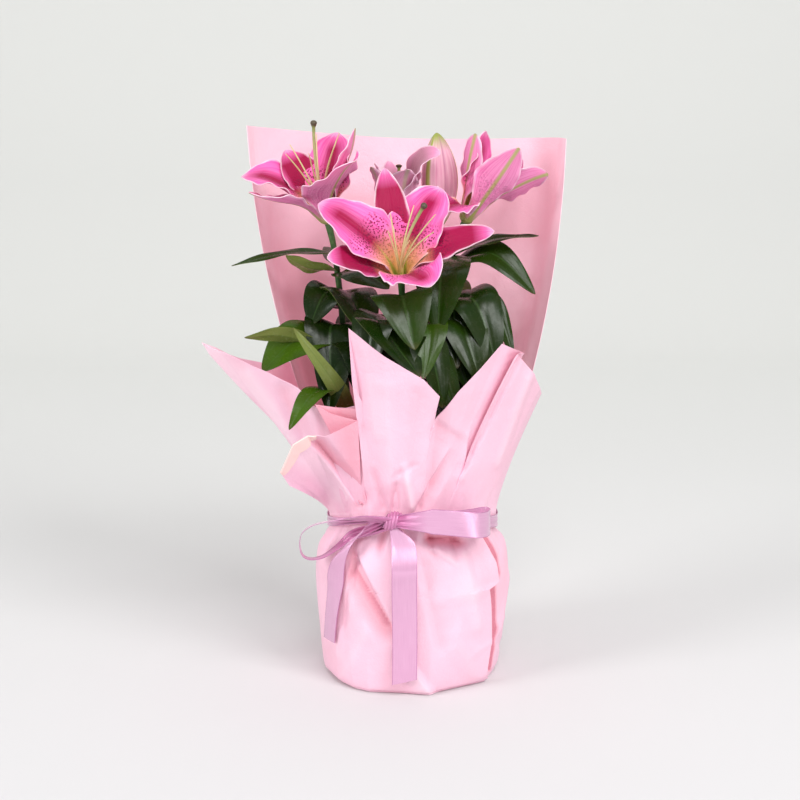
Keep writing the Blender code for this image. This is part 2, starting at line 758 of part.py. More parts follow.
# For each bloom: its foot in mm, the way it faces, and its six tepals, three broad inner ones and
# three narrow outer ones, as (angle round the axis, length and width in mm, and the lean from the
# axis at the throat, in the middle and at the tip). Angles are in degrees, from the right upwards.
BLOOMS = {
    "front": {
        "segments": 6, "foot": (-11, -62, 384), "facing": (-0.05, -0.58, 0.81),
        "inner": ((58, 96, 54, 16, 56, 96), (154, 102, 54, 16, 58, 88), (288, 66, 54, 17, 62, 104)),
        "outer": ((4, 100, 34, 22, 66, 80), (104, 106, 34, 22, 54, 62), (197, 76, 34, 26, 60, 74)),
        "style": {"length": 74, "bend": (0.16, 0.28), "filament_spread": 0.30},
    },
    "left": {
        "segments": 6, "foot": (-78, -16, 431), "facing": (-0.25, -0.22, 0.94),
        "inner": ((162, 92, 52, 14, 50, 92), (45, 94, 52, 12, 32, 36), (292, 92, 54, 14, 50, 100)),
        "outer": ((222, 98, 36, 22, 60, 66), (102, 92, 36, 19, 38, 44), (350, 98, 36, 19, 38, 32)),
        "style": {"length": 88, "bend": (0.14, 0.10), "filament_spread": 0.30},
    },
    "back": {
        "segments": 5, "foot": (-13, 10, 424), "facing": (0.0, 0.05, 1.0),
        "inner": ((285, 60, 30, 10, 28, 56), (165, 60, 28, 10, 20, 30), (45, 60, 28, 10, 20, 24)),
        "outer": ((338, 62, 26, 18.5, 40, 110), (225, 62, 24, 18.5, 30, 40), (105, 66, 24, 18.5, 30, 40)),
        "style": {"length": 52, "bend": (0.0, 0.05), "filament_spread": 0.10},
    },
    "right": {
        "segments": 5, "foot": (48, 6, 429), "facing": (0.42, -0.02, 0.90),
        "inner": ((236, 62, 36, 16, 68, 128), (352, 88, 44, 12, 26, 34), (112, 90, 44, 12, 20, 16)),
        "outer": ((172, 78, 30, 18.5, 22, 10), (292, 90, 34, 18.5, 26, 22), (52, 88, 32, 18.5, 28, 24)),
        "style": {"length": 56, "bend": (0.0, 0.0), "filament_spread": 0.10},
    },
    "bud": {"foot": (24, 38, 419), "facing": (-0.02, 0.0, 1.0)},
}
OPEN_BLOOMS = ("front", "left", "back", "right")
CLAW_RADIUS = 6 * MM
RECEPTACLE_RADIUS = 6.5 * MM
RECEPTACLE_FOOT_RADIUS = 3.4 * MM
RECEPTACLE_HEIGHT = 5 * MM
TEPAL_STEPS = 40  # of the sum that turns a tepal's lean into its path
TEPAL_CUP = 0.34
TEPAL_GROOVE = 0.9 * MM
TEPAL_GROOVE_WIDTH = 3 * MM

# How an inner and an outer tepal differ: where it starts from the axis as a share of the claws'
# radius, where it reaches its full width, how blunt its point is, its waves, and its strips.
INNER = {"root": 0.72, "full_at": 0.42, "blunt": 2.6, "waves": 2.6 * MM, "strips": 4}
OUTER = {"root": 1.05, "full_at": 0.50, "blunt": 2.2, "waves": 1.8 * MM, "strips": 2}


def bloom_frame(bloom):
    """The bloom's own axes: right and up across it as seen from in front, and its facing."""
    facing = unit(bloom["facing"])
    right = unit(np.array([1.0, 0, 0]) - facing[0] * facing)
    return right, np.cross(facing, right), facing


def tepal_lean(share, throat, middle, tip):
    """The tepal's lean from the bloom's axis: upright in the throat, open further out, curled at the tip."""
    if share < 0.55:
        t = share / 0.55
        return throat + (middle - throat) * (3 * t**2 - 2 * t**3)
    t = (share - 0.55) / 0.45
    return middle + (tip - middle) * t**1.6


def tepal_width(share, kind):
    """A narrow claw, a full middle and a blunt point."""
    claw = 0.16 + 0.84 * min(1, share / kind["full_at"]) ** 1.25
    point = max(0, 1 - max(0, 2 * share - 1) ** kind["blunt"])
    return claw * (0.05 + 0.95 * point**0.8)


def tepal(name, frame, foot, row, kind, phase, segments):
    """One tepal: its midrib leans out along its length, its face is cupped and its margin waved.

    The lean, summed along the length, gives the path. Across it, the blade rises with the square of
    the distance from the midrib, dips in a narrow groove along it, and waves more towards the margin.
    """
    angle, length, width, *leans = row
    right, above, facing = frame
    turn = math.radians(angle)
    outward = math.cos(turn) * right + math.sin(turn) * above
    side = np.cross(facing, outward)
    step = length * MM / TEPAL_STEPS
    lean = [math.radians(tepal_lean((i + 0.5) / TEPAL_STEPS, *leans)) for i in range(TEPAL_STEPS)]
    out_run = np.concatenate([[0], np.cumsum(np.sin(lean))]) * step
    axis_run = np.concatenate([[0], np.cumsum(np.cos(lean))]) * step
    stops = np.arange(TEPAL_STEPS + 1) / TEPAL_STEPS

    def surface(u, v):
        radial = CLAW_RADIUS * kind["root"] + np.interp(v, stops, out_run)
        height = np.interp(v, stops, axis_run)
        tilt = math.radians(tepal_lean(v, *leans))
        inward = math.sin(tilt) * facing - math.cos(tilt) * outward
        across = 2 * u - 1
        half = width * MM / 2 * tepal_width(v, kind)
        cup = TEPAL_CUP * half * across**2 * (1 - 0.5 * v)
        dip = math.exp(-((across * half / TEPAL_GROOVE_WIDTH) ** 2)) * math.sin(math.pi * min(1, 1.2 * v))
        wave = across**2 * math.sin(11 * v + phase + 1.5 * across) * math.sin(math.pi * v) ** 0.5
        rise = cup - TEPAL_GROOVE * dip + kind["waves"] * wave
        return foot + outward * radial + facing * height + side * across * half + inward * rise

    return sheet(name, kind["strips"], segments, surface, TEPAL_THICKNESS)


def receptacle(name, frame, foot):
    """The small green-pink cup at the foot of the bloom that the tepals grow from."""
    facing = frame[2]
    places = [foot - facing * 1.2 * MM, foot + facing * 1.5 * MM, foot + facing * RECEPTACLE_HEIGHT]
    radii = [RECEPTACLE_FOOT_RADIUS, RECEPTACLE_RADIUS, 0.9 * RECEPTACLE_RADIUS]
    return tube(name, places, radii, 10)


def bloom_tepals(which, paint):
    """The cup and the six tepals of a bloom, in one solid."""
    bloom = BLOOMS[which]
    foot = np.array(bloom["foot"]) * MM
    frame = bloom_frame(bloom)
    start = foot + frame[2] * 2 * MM
    pieces = [receptacle("cup", frame, foot)]
    rows = [(row, INNER) for row in bloom["inner"]] + [(row, OUTER) for row in bloom["outer"]]
    for i, (row, kind) in enumerate(rows):
        phase = 1.7 * (i + len(which))
        pieces.append(tepal(f"tepal_{i}", frame, start, row, kind, phase, bloom["segments"]))
    return fuse(f"bloom_{which}_tepals", pieces, paint)


# The style's radii from the ovary up to the stigma, each at its share of the length.
STYLE_STOPS = (0, 0.15, 0.24, 0.6, 0.95, 0.975, 1.0)
STYLE_RADII = np.array([2.6, 2.5, 1.5, 1.3, 1.6, 3.2, 2.4]) * MM
FILAMENTS = 6
FILAMENT_STOPS = (0.03, 0.5, 1.0)
FILAMENT_RADII = np.array([1.1, 0.9, 0.6]) * MM
FILAMENT_ROOT = 0.8 * MM
FILAMENT_REACH = 0.78  # of the style's length


def bloom_pistil(which, paint):
    """The ovary, the style with its knobbed stigma, and six filaments, all grown together at the foot."""
    bloom = BLOOMS[which]
    style = bloom["style"]
    right, above, facing = bloom_frame(bloom)
    foot = np.array(bloom["foot"]) * MM + facing * (RECEPTACLE_HEIGHT + RESTING_GAP + 0.2 * MM)
    length = style["length"] * MM
    sweep = right * style["bend"][0] + above * style["bend"][1]

    stops = [foot + (facing * share + sweep * share**2) * length for share in STYLE_STOPS]
    pieces = [tube("style", stops, STYLE_RADII, 6)]
    for i in range(FILAMENTS):
        turn = math.tau * i / FILAMENTS + math.radians(25)
        outward = math.cos(turn) * right + math.sin(turn) * above
        places = []
        for share in FILAMENT_STOPS:
            aside = outward * (FILAMENT_ROOT + style["filament_spread"] * length * share**1.8)
            places.append(foot + aside + (facing * FILAMENT_REACH * share + sweep * 0.5 * share**2) * length)
        pieces.append(tube(f"filament_{i}", places, FILAMENT_RADII, 4))
    return fuse(f"bloom_{which}_pistil", pieces, paint)


BUD_LENGTH = 90 * MM
BUD_RADIUS = 18.5 * MM
BUD_LOBE = 0.10
BUD_RIB = 0.05
BUD_TIP = 0.05


def bud(paint):
    """The closed bud: three outer tepals folded together, with a raised rib down each.

    A sphere is stretched along the axis. Its radius swells towards the top third, its section has
    three broad lobes, and a narrow ridge runs along the crest of each.
    """
    foot = np.array(BLOOMS["bud"]["foot"]) * MM
    right, above, facing = bloom_frame(BLOOMS["bud"])
    shape = bmesh.new()
    bmesh.ops.create_uvsphere(shape, u_segments=15, v_segments=10, radius=1)
    for vertex in shape.verts:
        x, y, z = vertex.co
        share = (z + 1) / 2
        angle = math.atan2(y, x)
        swell = math.sin(math.pi * share**0.9) ** 0.62 * (0.72 + 0.56 * share - 0.34 * share**2)
        radius = BUD_RADIUS * max(swell, BUD_TIP if 0 < share < 1 else 0)
        radius *= 1 + BUD_LOBE * math.cos(3 * angle) + BUD_RIB * max(0, math.cos(3 * angle)) ** 12
        turned_by = math.cos(angle) * right + math.sin(angle) * above
        vertex.co = foot + facing * share * BUD_LENGTH + turned_by * radius
    bmesh.ops.triangulate(shape, faces=shape.faces)
    bmesh.ops.recalc_face_normals(shape, faces=shape.faces)
    mesh = bpy.data.meshes.new("bud_upright")
    shape.to_mesh(mesh)
    shape.free()
    mesh.shade_smooth()
    return new_object("bud_upright", mesh, paint)


def build():
    plastic = material("pot plastic", (0.10, 0.045, 0.03), 0.6)
    peat = material("compost", (0.05, 0.032, 0.02), 0.95)
    wrap = material("wrap paper", (0.90, 0.56, 0.63), 0.6)
    satin = material("satin ribbon", (0.62, 0.30, 0.58), 0.35)
    green = material("leaf green", (0.035, 0.11, 0.03), 0.3)
    pink = material("petal pink", (0.80, 0.14, 0.36), 0.5)
    pale = material("style green", (0.45, 0.50, 0.14), 0.5)
    blush = material("bud pink", (0.72, 0.34, 0.46), 0.5)

    nursery_pot(plastic)
    compost(STEM_LINES.values(), peat)
    base_sheet(wrap)
    front_sheet(wrap)
    back_sheet(wrap)
    ribbon(satin)
    for which in STEM_LINES:
        leafy_stem(which, green)
    for which in OPEN_BLOOMS:
        bloom_tepals(which, pink)
        bloom_pistil(which, pale)
    bud(blush)


clear_scene()
PART = new_collection("potted_lily")
build()
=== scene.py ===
import math

import bmesh
import bpy
import numpy as np
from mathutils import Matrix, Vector


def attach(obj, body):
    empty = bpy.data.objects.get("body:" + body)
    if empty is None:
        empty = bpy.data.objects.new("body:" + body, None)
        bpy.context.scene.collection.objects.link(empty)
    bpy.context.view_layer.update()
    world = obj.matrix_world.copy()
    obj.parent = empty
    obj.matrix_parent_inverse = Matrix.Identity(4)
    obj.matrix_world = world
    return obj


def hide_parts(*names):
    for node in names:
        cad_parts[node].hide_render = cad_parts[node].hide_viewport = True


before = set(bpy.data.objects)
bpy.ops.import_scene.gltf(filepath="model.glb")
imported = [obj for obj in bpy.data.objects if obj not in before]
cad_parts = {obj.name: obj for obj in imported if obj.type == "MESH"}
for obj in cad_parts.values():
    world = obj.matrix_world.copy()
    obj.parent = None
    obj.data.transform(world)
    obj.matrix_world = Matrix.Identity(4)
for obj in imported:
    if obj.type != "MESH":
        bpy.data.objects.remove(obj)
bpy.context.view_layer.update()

# The view
# The plant was photographed from in front and a little above, from about 1.8 m, with a long lens.
# The camera looks at the middle of the plant and its lens gives the photograph's own angle.

MM = 0.001
CAMERA_PLACE = Vector((-0.012, -1.75, 0.62))
CAMERA_TARGET = Vector((-0.012, 0.0, 0.262))
SENSOR_WIDTH = 36.0
FOCAL_PIXELS = 1900.0
FRAME_PIXELS = 800.0

camera_data = bpy.data.cameras.new("camera")
camera_data.sensor_width = SENSOR_WIDTH
camera_data.lens = FOCAL_PIXELS / FRAME_PIXELS * SENSOR_WIDTH
camera = bpy.data.objects.new("camera", camera_data)
bpy.context.scene.collection.objects.link(camera)
camera.location = CAMERA_PLACE
camera.rotation_euler = (CAMERA_TARGET - CAMERA_PLACE).to_track_quat("-Z", "Y").to_euler()
bpy.context.scene.camera = camera

# The nursery pot
# A thin-walled round pot of brown plastic, pressed in one piece, with drain holes in its foot.
# The wrap hides all but its inside rim, so the solid keeps its shape and only gets its finish.


def new_material(name, roughness):
    """A material with its node tree and its main shader."""
    made = bpy.data.materials.new(name)
    made.use_nodes = True
    shader = made.node_tree.nodes["Principled BSDF"]
    shader.inputs["Roughness"].default_value = roughness
    return made, made.node_tree, shader


def add(tree, kind, settings=None, **inputs):
    """Adds a node. An input given as another node's socket is linked, and any other value is set."""
    node = tree.nodes.new("ShaderNode" + kind)
    for key, value in (settings or {}).items():
        setattr(node, key, value)
    for key, value in inputs.items():
        socket = node.inputs[int(key[1:])] if key[0] == "_" else node.inputs[key.replace("_", " ")]
        if isinstance(value, bpy.types.NodeSocket):
            tree.links.new(value, socket)
        else:
            socket.default_value = value
    return node


def ramp(tree, value, stops):
    """Turns a value into a colour by stops of (place, (red, green, blue))."""
    node = tree.nodes.new("ShaderNodeValToRGB")
    points = node.color_ramp.elements
    while len(points) < len(stops):
        points.new(0.5)
    for point, (place, colour) in zip(points, stops):
        point.position = place
        point.color = (*colour, 1)
    tree.links.new(value, node.inputs["Fac"])
    return node.outputs["Color"]


def level(tree, value, low, high, to_low=0.0, to_high=1.0):
    """Carries a value from one range to another, held at its ends."""
    node = add(tree, "MapRange", _0=value, _1=low, _2=high, _3=to_low, _4=to_high)
    return node.outputs["Result"]


def blend(tree, factor, first, second):
    """Mixes two colours by a factor."""
    node = tree.nodes.new("ShaderNodeMix")
    node.data_type = "RGBA"
    for socket, value in ((node.inputs[0], factor), (node.inputs[6], first), (node.inputs[7], second)):
        if isinstance(value, bpy.types.NodeSocket):
            tree.links.new(value, socket)
        elif isinstance(value, tuple):
            socket.default_value = (*value, 1)
        else:
            socket.default_value = value
    return node.outputs[2]


def maths(tree, operation, first, second=0.0):
    """One step of arithmetic on two values."""
    return add(tree, "Math", {"operation": operation}, _0=first, _1=second).outputs["Value"]


def times(tree, first, second):
    """The product of two values."""
    return maths(tree, "MULTIPLY", first, second)


def plus(tree, first, second):
    """The sum of two values."""
    return maths(tree, "ADD", first, second)


def place(tree):
    """The point of the object, in metres."""
    return tree.nodes.new("ShaderNodeTexCoord").outputs["Object"]


def noise(tree, vector, scale, detail=3.0, distortion=0.0):
    """Cloudy noise, from 0 to 1, with scale waves to the metre."""
    made = add(tree, "TexNoise", Vector=vector, Scale=scale, Detail=detail, Distortion=distortion)
    return made.outputs["Fac"]


def carried(tree, name):
    """A value that the mesh carries at each of its points."""
    return add(tree, "Attribute", {"attribute_name": name}).outputs["Fac"]


def coat(tree, shader, colour):
    """Gives the shader its colour."""
    tree.links.new(colour, shader.inputs["Base Color"])


def roughen(tree, shader, height, distance):
    """Gives the shader a relief of that depth, in metres."""
    bump = add(tree, "Bump", Height=height, Distance=distance, Strength=1.0)
    tree.links.new(bump.outputs["Normal"], shader.inputs["Normal"])


def pot_plastic():
    """Dull brown plastic: two browns in broad clouds, with a fine grain."""
    made, tree, shader = new_material("pot_plastic", 0.5)
    where = place(tree)
    browns = [(0.3, (0.085, 0.036, 0.022)), (0.7, (0.13, 0.058, 0.036))]
    coat(tree, shader, ramp(tree, noise(tree, where, 25.0), browns))
    roughen(tree, shader, noise(tree, where, 900.0), 0.0001)
    return made


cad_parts["nursery_pot"].data.materials.clear()
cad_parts["nursery_pot"].data.materials.append(pot_plastic())

# The compost
# Potting compost fills the pot to a finger below its rim: dark crumbs with a few pale bits of bark.
# It is poured in loose, so its top is lumpy, and the stems stand in it.

SOIL_TOP = 112 * MM
SOIL_RADIUS = 75.4 * MM
SOIL_FOOT_RADIUS = 59.8 * MM
SOIL_FOOT = 3.2 * MM
SOIL_LUMP = 2.2 * MM
SOIL_CRUMB = 1.1 * MM
# The finest and the coarsest wave of the crumbs.
SOIL_CRUMB_WAVES = (2.5 * MM, 14 * MM)
SOIL_RINGS = 46
SOIL_SIDES = 140


def dressed(name, mesh, paint, slot, *nodes, sharp=50.0):
    """Makes the mesh a finished piece: it is shaded, rides on the part and stands for its nodes."""
    mesh.name = name
    mesh.shade_smooth()
    mesh.set_sharp_from_angle(angle=math.radians(sharp))
    mesh.materials.append(paint)
    piece = bpy.data.objects.new(name, mesh)
    bpy.context.scene.collection.objects.link(piece)
    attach(piece, "root")
    if nodes:
        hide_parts(*nodes)
    return piece


def quads(rows, wrapped):
    """The four corners of each cell of a grid of point numbers, whose columns may close in a ring."""
    if wrapped:
        rows = np.concatenate([rows, rows[:, :1]], axis=1)
    return np.stack([rows[:-1, :-1], rows[:-1, 1:], rows[1:, 1:], rows[1:, :-1]], axis=-1).reshape(-1, 4)


def mesh_from(points, faces, values=None, weld=0.0):
    """A mesh of the points and faces, with each value kept at its points. Points within weld become one."""
    mesh = bpy.data.meshes.new("surface")
    mesh.from_pydata(points.reshape(-1, 3), [], faces)
    for key, value in (values or {}).items():
        carrier = mesh.attributes.new(key, "FLOAT", "POINT").data
        carrier.foreach_set("value", value.astype(np.float32).ravel())
    if weld:
        shape = bmesh.new()
        shape.from_mesh(mesh)
        bmesh.ops.remove_doubles(shape, verts=shape.verts, dist=weld)
        shape.to_mesh(mesh)
        shape.free()
    return mesh


def ripples(x, y, seed, count, finest, coarsest):
    """Uneven ground between -1 and 1: a sum of waves in random directions, each with a random start."""
    random = np.random.default_rng(seed)
    total = np.zeros(np.broadcast(x, y).shape)
    for length in np.geomspace(coarsest, finest, count):
        turn, start = random.uniform(0, math.tau, 2)
        total += np.sin((x * math.cos(turn) + y * math.sin(turn)) * math.tau / length + start)
    return total / math.sqrt(count)


def compost_mesh():
    """A filled pot's shape, turned: flat foot, tapering side and a top raised by lumps and crumbs.

    Down the profile the radius grows from 0 at the top's middle to the wall, then tapers to the foot
    and closes. The top is lifted by broad lumps and by fine ripples, which die out at the wall.
    """
    top = np.linspace(0, 1, SOIL_RINGS)
    radius = np.concatenate([top * SOIL_RADIUS, [SOIL_FOOT_RADIUS, 0]])[:, None]
    height = np.concatenate([top * 0 + SOIL_TOP, [SOIL_FOOT, SOIL_FOOT]])[:, None]
    angle = np.linspace(0, math.tau, SOIL_SIDES, endpoint=False)[None, :]
    x, y = radius * np.cos(angle), radius * np.sin(angle)
    lumps = np.sin(190 * x + 1) * np.cos(170 * y) + 0.6 * np.sin(330 * x + 290 * y)
    crumbs = ripples(x, y, 4, 14, *SOIL_CRUMB_WAVES)
    inward = np.clip(4 * (1 - np.hypot(x, y) / SOIL_RADIUS), 0, 1) * (height > SOIL_FOOT)
    z = height + inward * (SOIL_LUMP * lumps + SOIL_CRUMB * crumbs)
    points = np.stack([x, y, z], axis=-1)
    faces = quads(np.arange(points.size // 3).reshape(points.shape[:2]), True)
    return mesh_from(points, faces[:, ::-1], weld=1e-6)


def compost_material():
    """Dark crumbs of cloudy noise, with pale specks where cells of a fine pattern have their centres."""
    made, tree, shader = new_material("compost_crumb", 0.95)
    where = place(tree)
    bark = add(tree, "TexVoronoi", Vector=where, Scale=260.0)
    crumb = noise(tree, where, 420.0, 5.0)
    dark = ramp(tree, crumb, [(0.3, (0.012, 0.008, 0.005)), (0.75, (0.075, 0.045, 0.026))])
    pale = level(tree, bark.outputs["Distance"], 0.10, 0.16, 1.0, 0.0)
    flecks = times(tree, pale, level(tree, noise(tree, where, 90.0), 0.55, 0.65))
    coat(tree, shader, blend(tree, flecks, dark, (0.30, 0.19, 0.10)))
    roughen(tree, shader, crumb, 0.0012)
    return made


dressed("compost_top", compost_mesh(), compost_material(), "compost", "compost", sharp=70.0)

# The wrapping paper
# Sheets of pink waxed florist's paper: a square one is pulled up round the pot, a second one covers
# the front and a tall one stands behind. They are folded and pleated by hand, and the tie holds them.

PAPER = 0.45 * MM
# How far the front sheet lies outside the square one.
LAYER_STEP = 2.0 * MM
TIE_HEIGHT = 147.5 * MM
TIE_FRONT_RISE = 21 * MM
TIE_RADIUS = 75 * MM
NECK_HALF = 7.5 * MM
GATHER_DEPTH = 2.2 * MM
# The wrapped pot's profile: radius and height, from the middle of the base to below the tie.
BODY_STOPS = np.array([
    (0, 0), (70, 0), (79, 3), (83, 14), (87, 44), (90, 90), (89, 114), (85.5, 128),
]) * MM
# Plan of the fold round the pot's foot, corner by corner, from the left front round to the left.
FOOT_CORNERS = np.array([
    (-72, -52), (-58, -71), (-43, -81), (16, -87), (73, -50), (85, -10), (78, 42), (40, 79),
    (-15, 88), (-60, 68), (-86, 24), (-86, -16),
]) * MM
FOOT_FOLD_HEIGHT = 46 * MM
FOOT_RADIUS = 85 * MM


def smooth_path(points, shares):
    """Places along a smooth curve through the points (Catmull-Rom), each share from 0 to 1."""
    points = np.asarray(points, float)
    at = np.clip(shares, 0, 1) * (len(points) - 1)
    i = np.minimum(at.astype(int), len(points) - 2)
    t = (at - i).reshape(-1, *[1] * (points.ndim - 1))
    before, start, end = points[np.maximum(i - 1, 0)], points[i], points[i + 1]
    after = points[np.minimum(i + 2, len(points) - 1)]
    return 0.5 * (
        2 * start
        + (end - before) * t
        + (2 * before - 5 * start + 4 * end - after) * t**2
        + (3 * (start - end) + after - before) * t**3
    )


def straight_path(points, shares):
    """Places along the straight runs between the points, each share from 0 to 1."""
    at = np.asarray(shares) * (len(points) - 1)
    return np.stack([np.interp(at, np.arange(len(points)), axis) for axis in np.transpose(points)], axis=-1)


def unit(vectors):
    """The same directions with length 1."""
    return vectors / np.maximum(np.linalg.norm(vectors, axis=-1, keepdims=True), 1e-12)


def normals(points, wrapped=False):
    """Which way a grid faces: the cross product of its run along a row and its run down a column."""
    if wrapped:
        across = np.roll(points, -1, axis=1) - np.roll(points, 1, axis=1)
    else:
        across = np.gradient(points, axis=1)
    return unit(np.cross(across, np.gradient(points, axis=0)))


def ring(radius, angle, height):
    """Points so far from the pot's axis, so far round it and so high."""
    return np.stack(np.broadcast_arrays(radius * np.cos(angle), radius * np.sin(angle), height), axis=-1)


def thin_sheets(sheets, weld=0.0):
    """One mesh of thin closed sheets.

    Each sheet is (grid of points, thickness, wrapped, values). Both of its skins lie half the
    thickness from the grid, along its normals, and strips close its open edges. The value
    "underside" is 0 on the skin that the grid faces and 1 on the other.
    """
    all_points, all_faces, all_values, count = [], [], [], 0
    for grid, thickness, wrapped, values in sheets:
        shape = grid.shape[:2]
        offset = normals(grid, wrapped) * (np.asarray(thickness) / 2)
        front = count + np.arange(shape[0] * shape[1]).reshape(shape)
        back = front + front.size
        count += 2 * front.size
        edges = [(back[0], front[0]), (front[-1], back[-1])]
        if not wrapped:
            edges += [(front[:, 0], back[:, 0]), (back[:, -1], front[:, -1])]
        all_faces += [quads(front, wrapped), quads(back, wrapped)[:, ::-1]]
        all_faces += [quads(np.stack(edge), wrapped) for edge in edges]
        all_points += [(grid + offset).reshape(-1, 3), (grid - offset).reshape(-1, 3)]
        both = {key: np.tile(np.broadcast_to(value, shape).ravel(), 2) for key, value in values.items()}
        both["underside"] = np.repeat([0.0, 1.0], front.size)
        all_values.append(both)
    gathered = {key: np.concatenate([values[key] for values in all_values]) for key in all_values[0]}
    return mesh_from(np.concatenate(all_points), np.concatenate(all_faces), gathered, weld)


def tie_height(angle):
    """The tie runs level round the back and sides, and climbs to the knot at the front."""
    return TIE_HEIGHT + TIE_FRONT_RISE * np.maximum(0, -np.sin(angle)) ** 1.5


def gather(angle):
    """The pleats at the tie, from -1 to 1 round the neck: nine broad ones, five slow ones, fine ones."""
    broad = 0.7 * np.cos(9 * angle + 0.6) + 0.3 * np.cos(5 * angle + 2.1)
    return broad + 0.22 * np.abs(np.sin(16 * angle + 0.9 * np.sin(3 * angle))) - 0.11


def foot_scale(angle):
    """How far out the foot's fold is: straight between its corners in plan, against a round foot."""
    turns = np.unwrap(np.arctan2(FOOT_CORNERS[:, 1], FOOT_CORNERS[:, 0]))
    radii = np.hypot(*FOOT_CORNERS.T)
    turns, radii = np.append(turns, turns[0] + math.tau), np.append(radii, radii[0])
    angle = turns[0] + np.mod(angle - turns[0], math.tau)
    i = np.clip(np.searchsorted(turns, angle, side="right") - 1, 0, len(FOOT_CORNERS) - 1)
    first, second = radii[i], radii[i + 1]
    chord = first * np.sin(angle - turns[i]) + second * np.sin(turns[i + 1] - angle)
    return first * second * np.sin(turns[i + 1] - turns[i]) / chord / FOOT_RADIUS


# Creases pressed into the paper. Each runs between two points, (x, height), in mm as seen from the
# front; then how far it reaches to its left and to its right, and how far it stands out, in mm.
BODY_CREASES = (
    (-54, 130, -17, 62, 22, 3, -5.0),
    (-64, 134, -58, 80, 7, 5, 1.8),
    (-54, 134, -66, 62, 3, 5, -2.4),
    (-76, 118, -70, 30, 8, 8, 1.6),
    (-4, 30, 16, 0, 20, 7, 3.4),
    (9, 146, 35, 127, 2, 12, 2.2),
    # This deep one also paints the shadow under the bow's right loop dark, through the fold's painted shade.
    (15, 147, 42, 142, 5, 8, -12.0),
    (-24, 164, -30, 140, 5, 5, -5.0),
    (-40, 160, -56, 138, 5, 6, -2.4),
    (-12, 162, -14, 142, 4, 5, -3.4),
    (10, 160, 18, 138, 5, 6, -3.0),
    (34, 158, 40, 134, 6, 6, -2.6),
    (9, 126, 26, 50, 8, 20, -2.6),
    (20, 96, 62, 97, 12, 22, 1.6),
    (44, 150, 62, 62, 20, 6, 1.8),
    (-44, 60, -66, 12, 12, 12, 1.8),
    (36, 58, 62, 8, 14, 16, 1.4),
)
# Past its ends, a crease dies out over this length.
CREASE_FADE = 10 * MM
PLEATS = 44
# A pleat leans by up to so many radians over so much height.
PLEAT_SLANT = 0.3
PLEAT_SLANT_HEIGHT = 50 * MM
PLEAT_REACH = 26 * MM
CRUMPLES = 46
CRUMPLE_RADIUS = 88 * MM
# The hidden pot, which the paper goes round: its height and its outside radius at the foot and the rim.
POT_HEIGHT = 126 * MM
POT_FOOT_RADIUS = 62 * MM
POT_RIM_RADIUS = 82 * MM
# The paper is held off the pot's wall from so high up to so far above its rim.
HELD_FROM = 5 * MM
HELD_ABOVE_RIM = 3 * MM


def creases(x, z, rows):
    """Height of the creases: each rises straight to its line from both sides and fades past its ends."""
    total = np.zeros(np.broadcast(x, z).shape)
    for x0, z0, x1, z1, left, right, depth in np.asarray(rows, float) * MM:
        length = math.hypot(x1 - x0, z1 - z0)
        along = ((x - x0) * (x1 - x0) + (z - z0) * (z1 - z0)) / length**2
        aside = ((x - x0) * (z0 - z1) + (z - z0) * (x1 - x0)) / length
        reach = np.where(aside > 0, right, left)
        beyond = np.maximum(0, np.abs(along - 0.5) - 0.5) * length
        total += depth * np.clip(1 - np.abs(aside) / reach, 0, 1) * np.clip(1 - beyond / CREASE_FADE, 0, 1)
    return total


def pleats(angle, below):
    """The paper's sharp pleats, each a straight ridge that starts at the tie, slants and dies out below.

    Their places, widths, depths and lengths are drawn at random within a pleat's own limits.
    """
    random = np.random.default_rng(11)
    total = np.zeros(np.broadcast(angle, below).shape)
    for i in range(PLEATS):
        middle = math.tau * (i + random.uniform(-0.4, 0.4)) / PLEATS
        slant = random.uniform(-PLEAT_SLANT, PLEAT_SLANT) / PLEAT_SLANT_HEIGHT
        width = random.uniform(0.05, 0.12)
        depth = random.uniform(0.5, 2.2) * MM
        length = random.uniform(16, 64) * MM
        away = np.abs(np.mod(angle - middle - slant * below + math.pi, math.tau) - math.pi)
        total += depth * np.clip(1 - away / width, 0, 1) * np.clip(1 - below / length, 0, 1)
    return total


def crumples(angle, height):
    """Small creases from handling, all round the wrap's sides and back: short straight ones, placed,
    turned and sized at random, and faint at the front, where the creases are listed one by one."""
    random = np.random.default_rng(23)
    turn = random.uniform(-0.6, math.pi - 0.5, CRUMPLES) * CRUMPLE_RADIUS / MM
    level_at = random.uniform(14, 138, CRUMPLES)
    lean = random.normal(math.pi / 2, 0.7, CRUMPLES)
    half = random.uniform(9, 30, CRUMPLES)
    rows = np.stack([
        turn - half * np.cos(lean), level_at - half * np.sin(lean),
        turn + half * np.cos(lean), level_at + half * np.sin(lean),
        random.uniform(3, 14, CRUMPLES), random.uniform(3, 14, CRUMPLES),
        random.uniform(-2.4, 2.4, CRUMPLES),
    ], axis=-1)
    return creases(angle * CRUMPLE_RADIUS + 0 * height, height, rows)


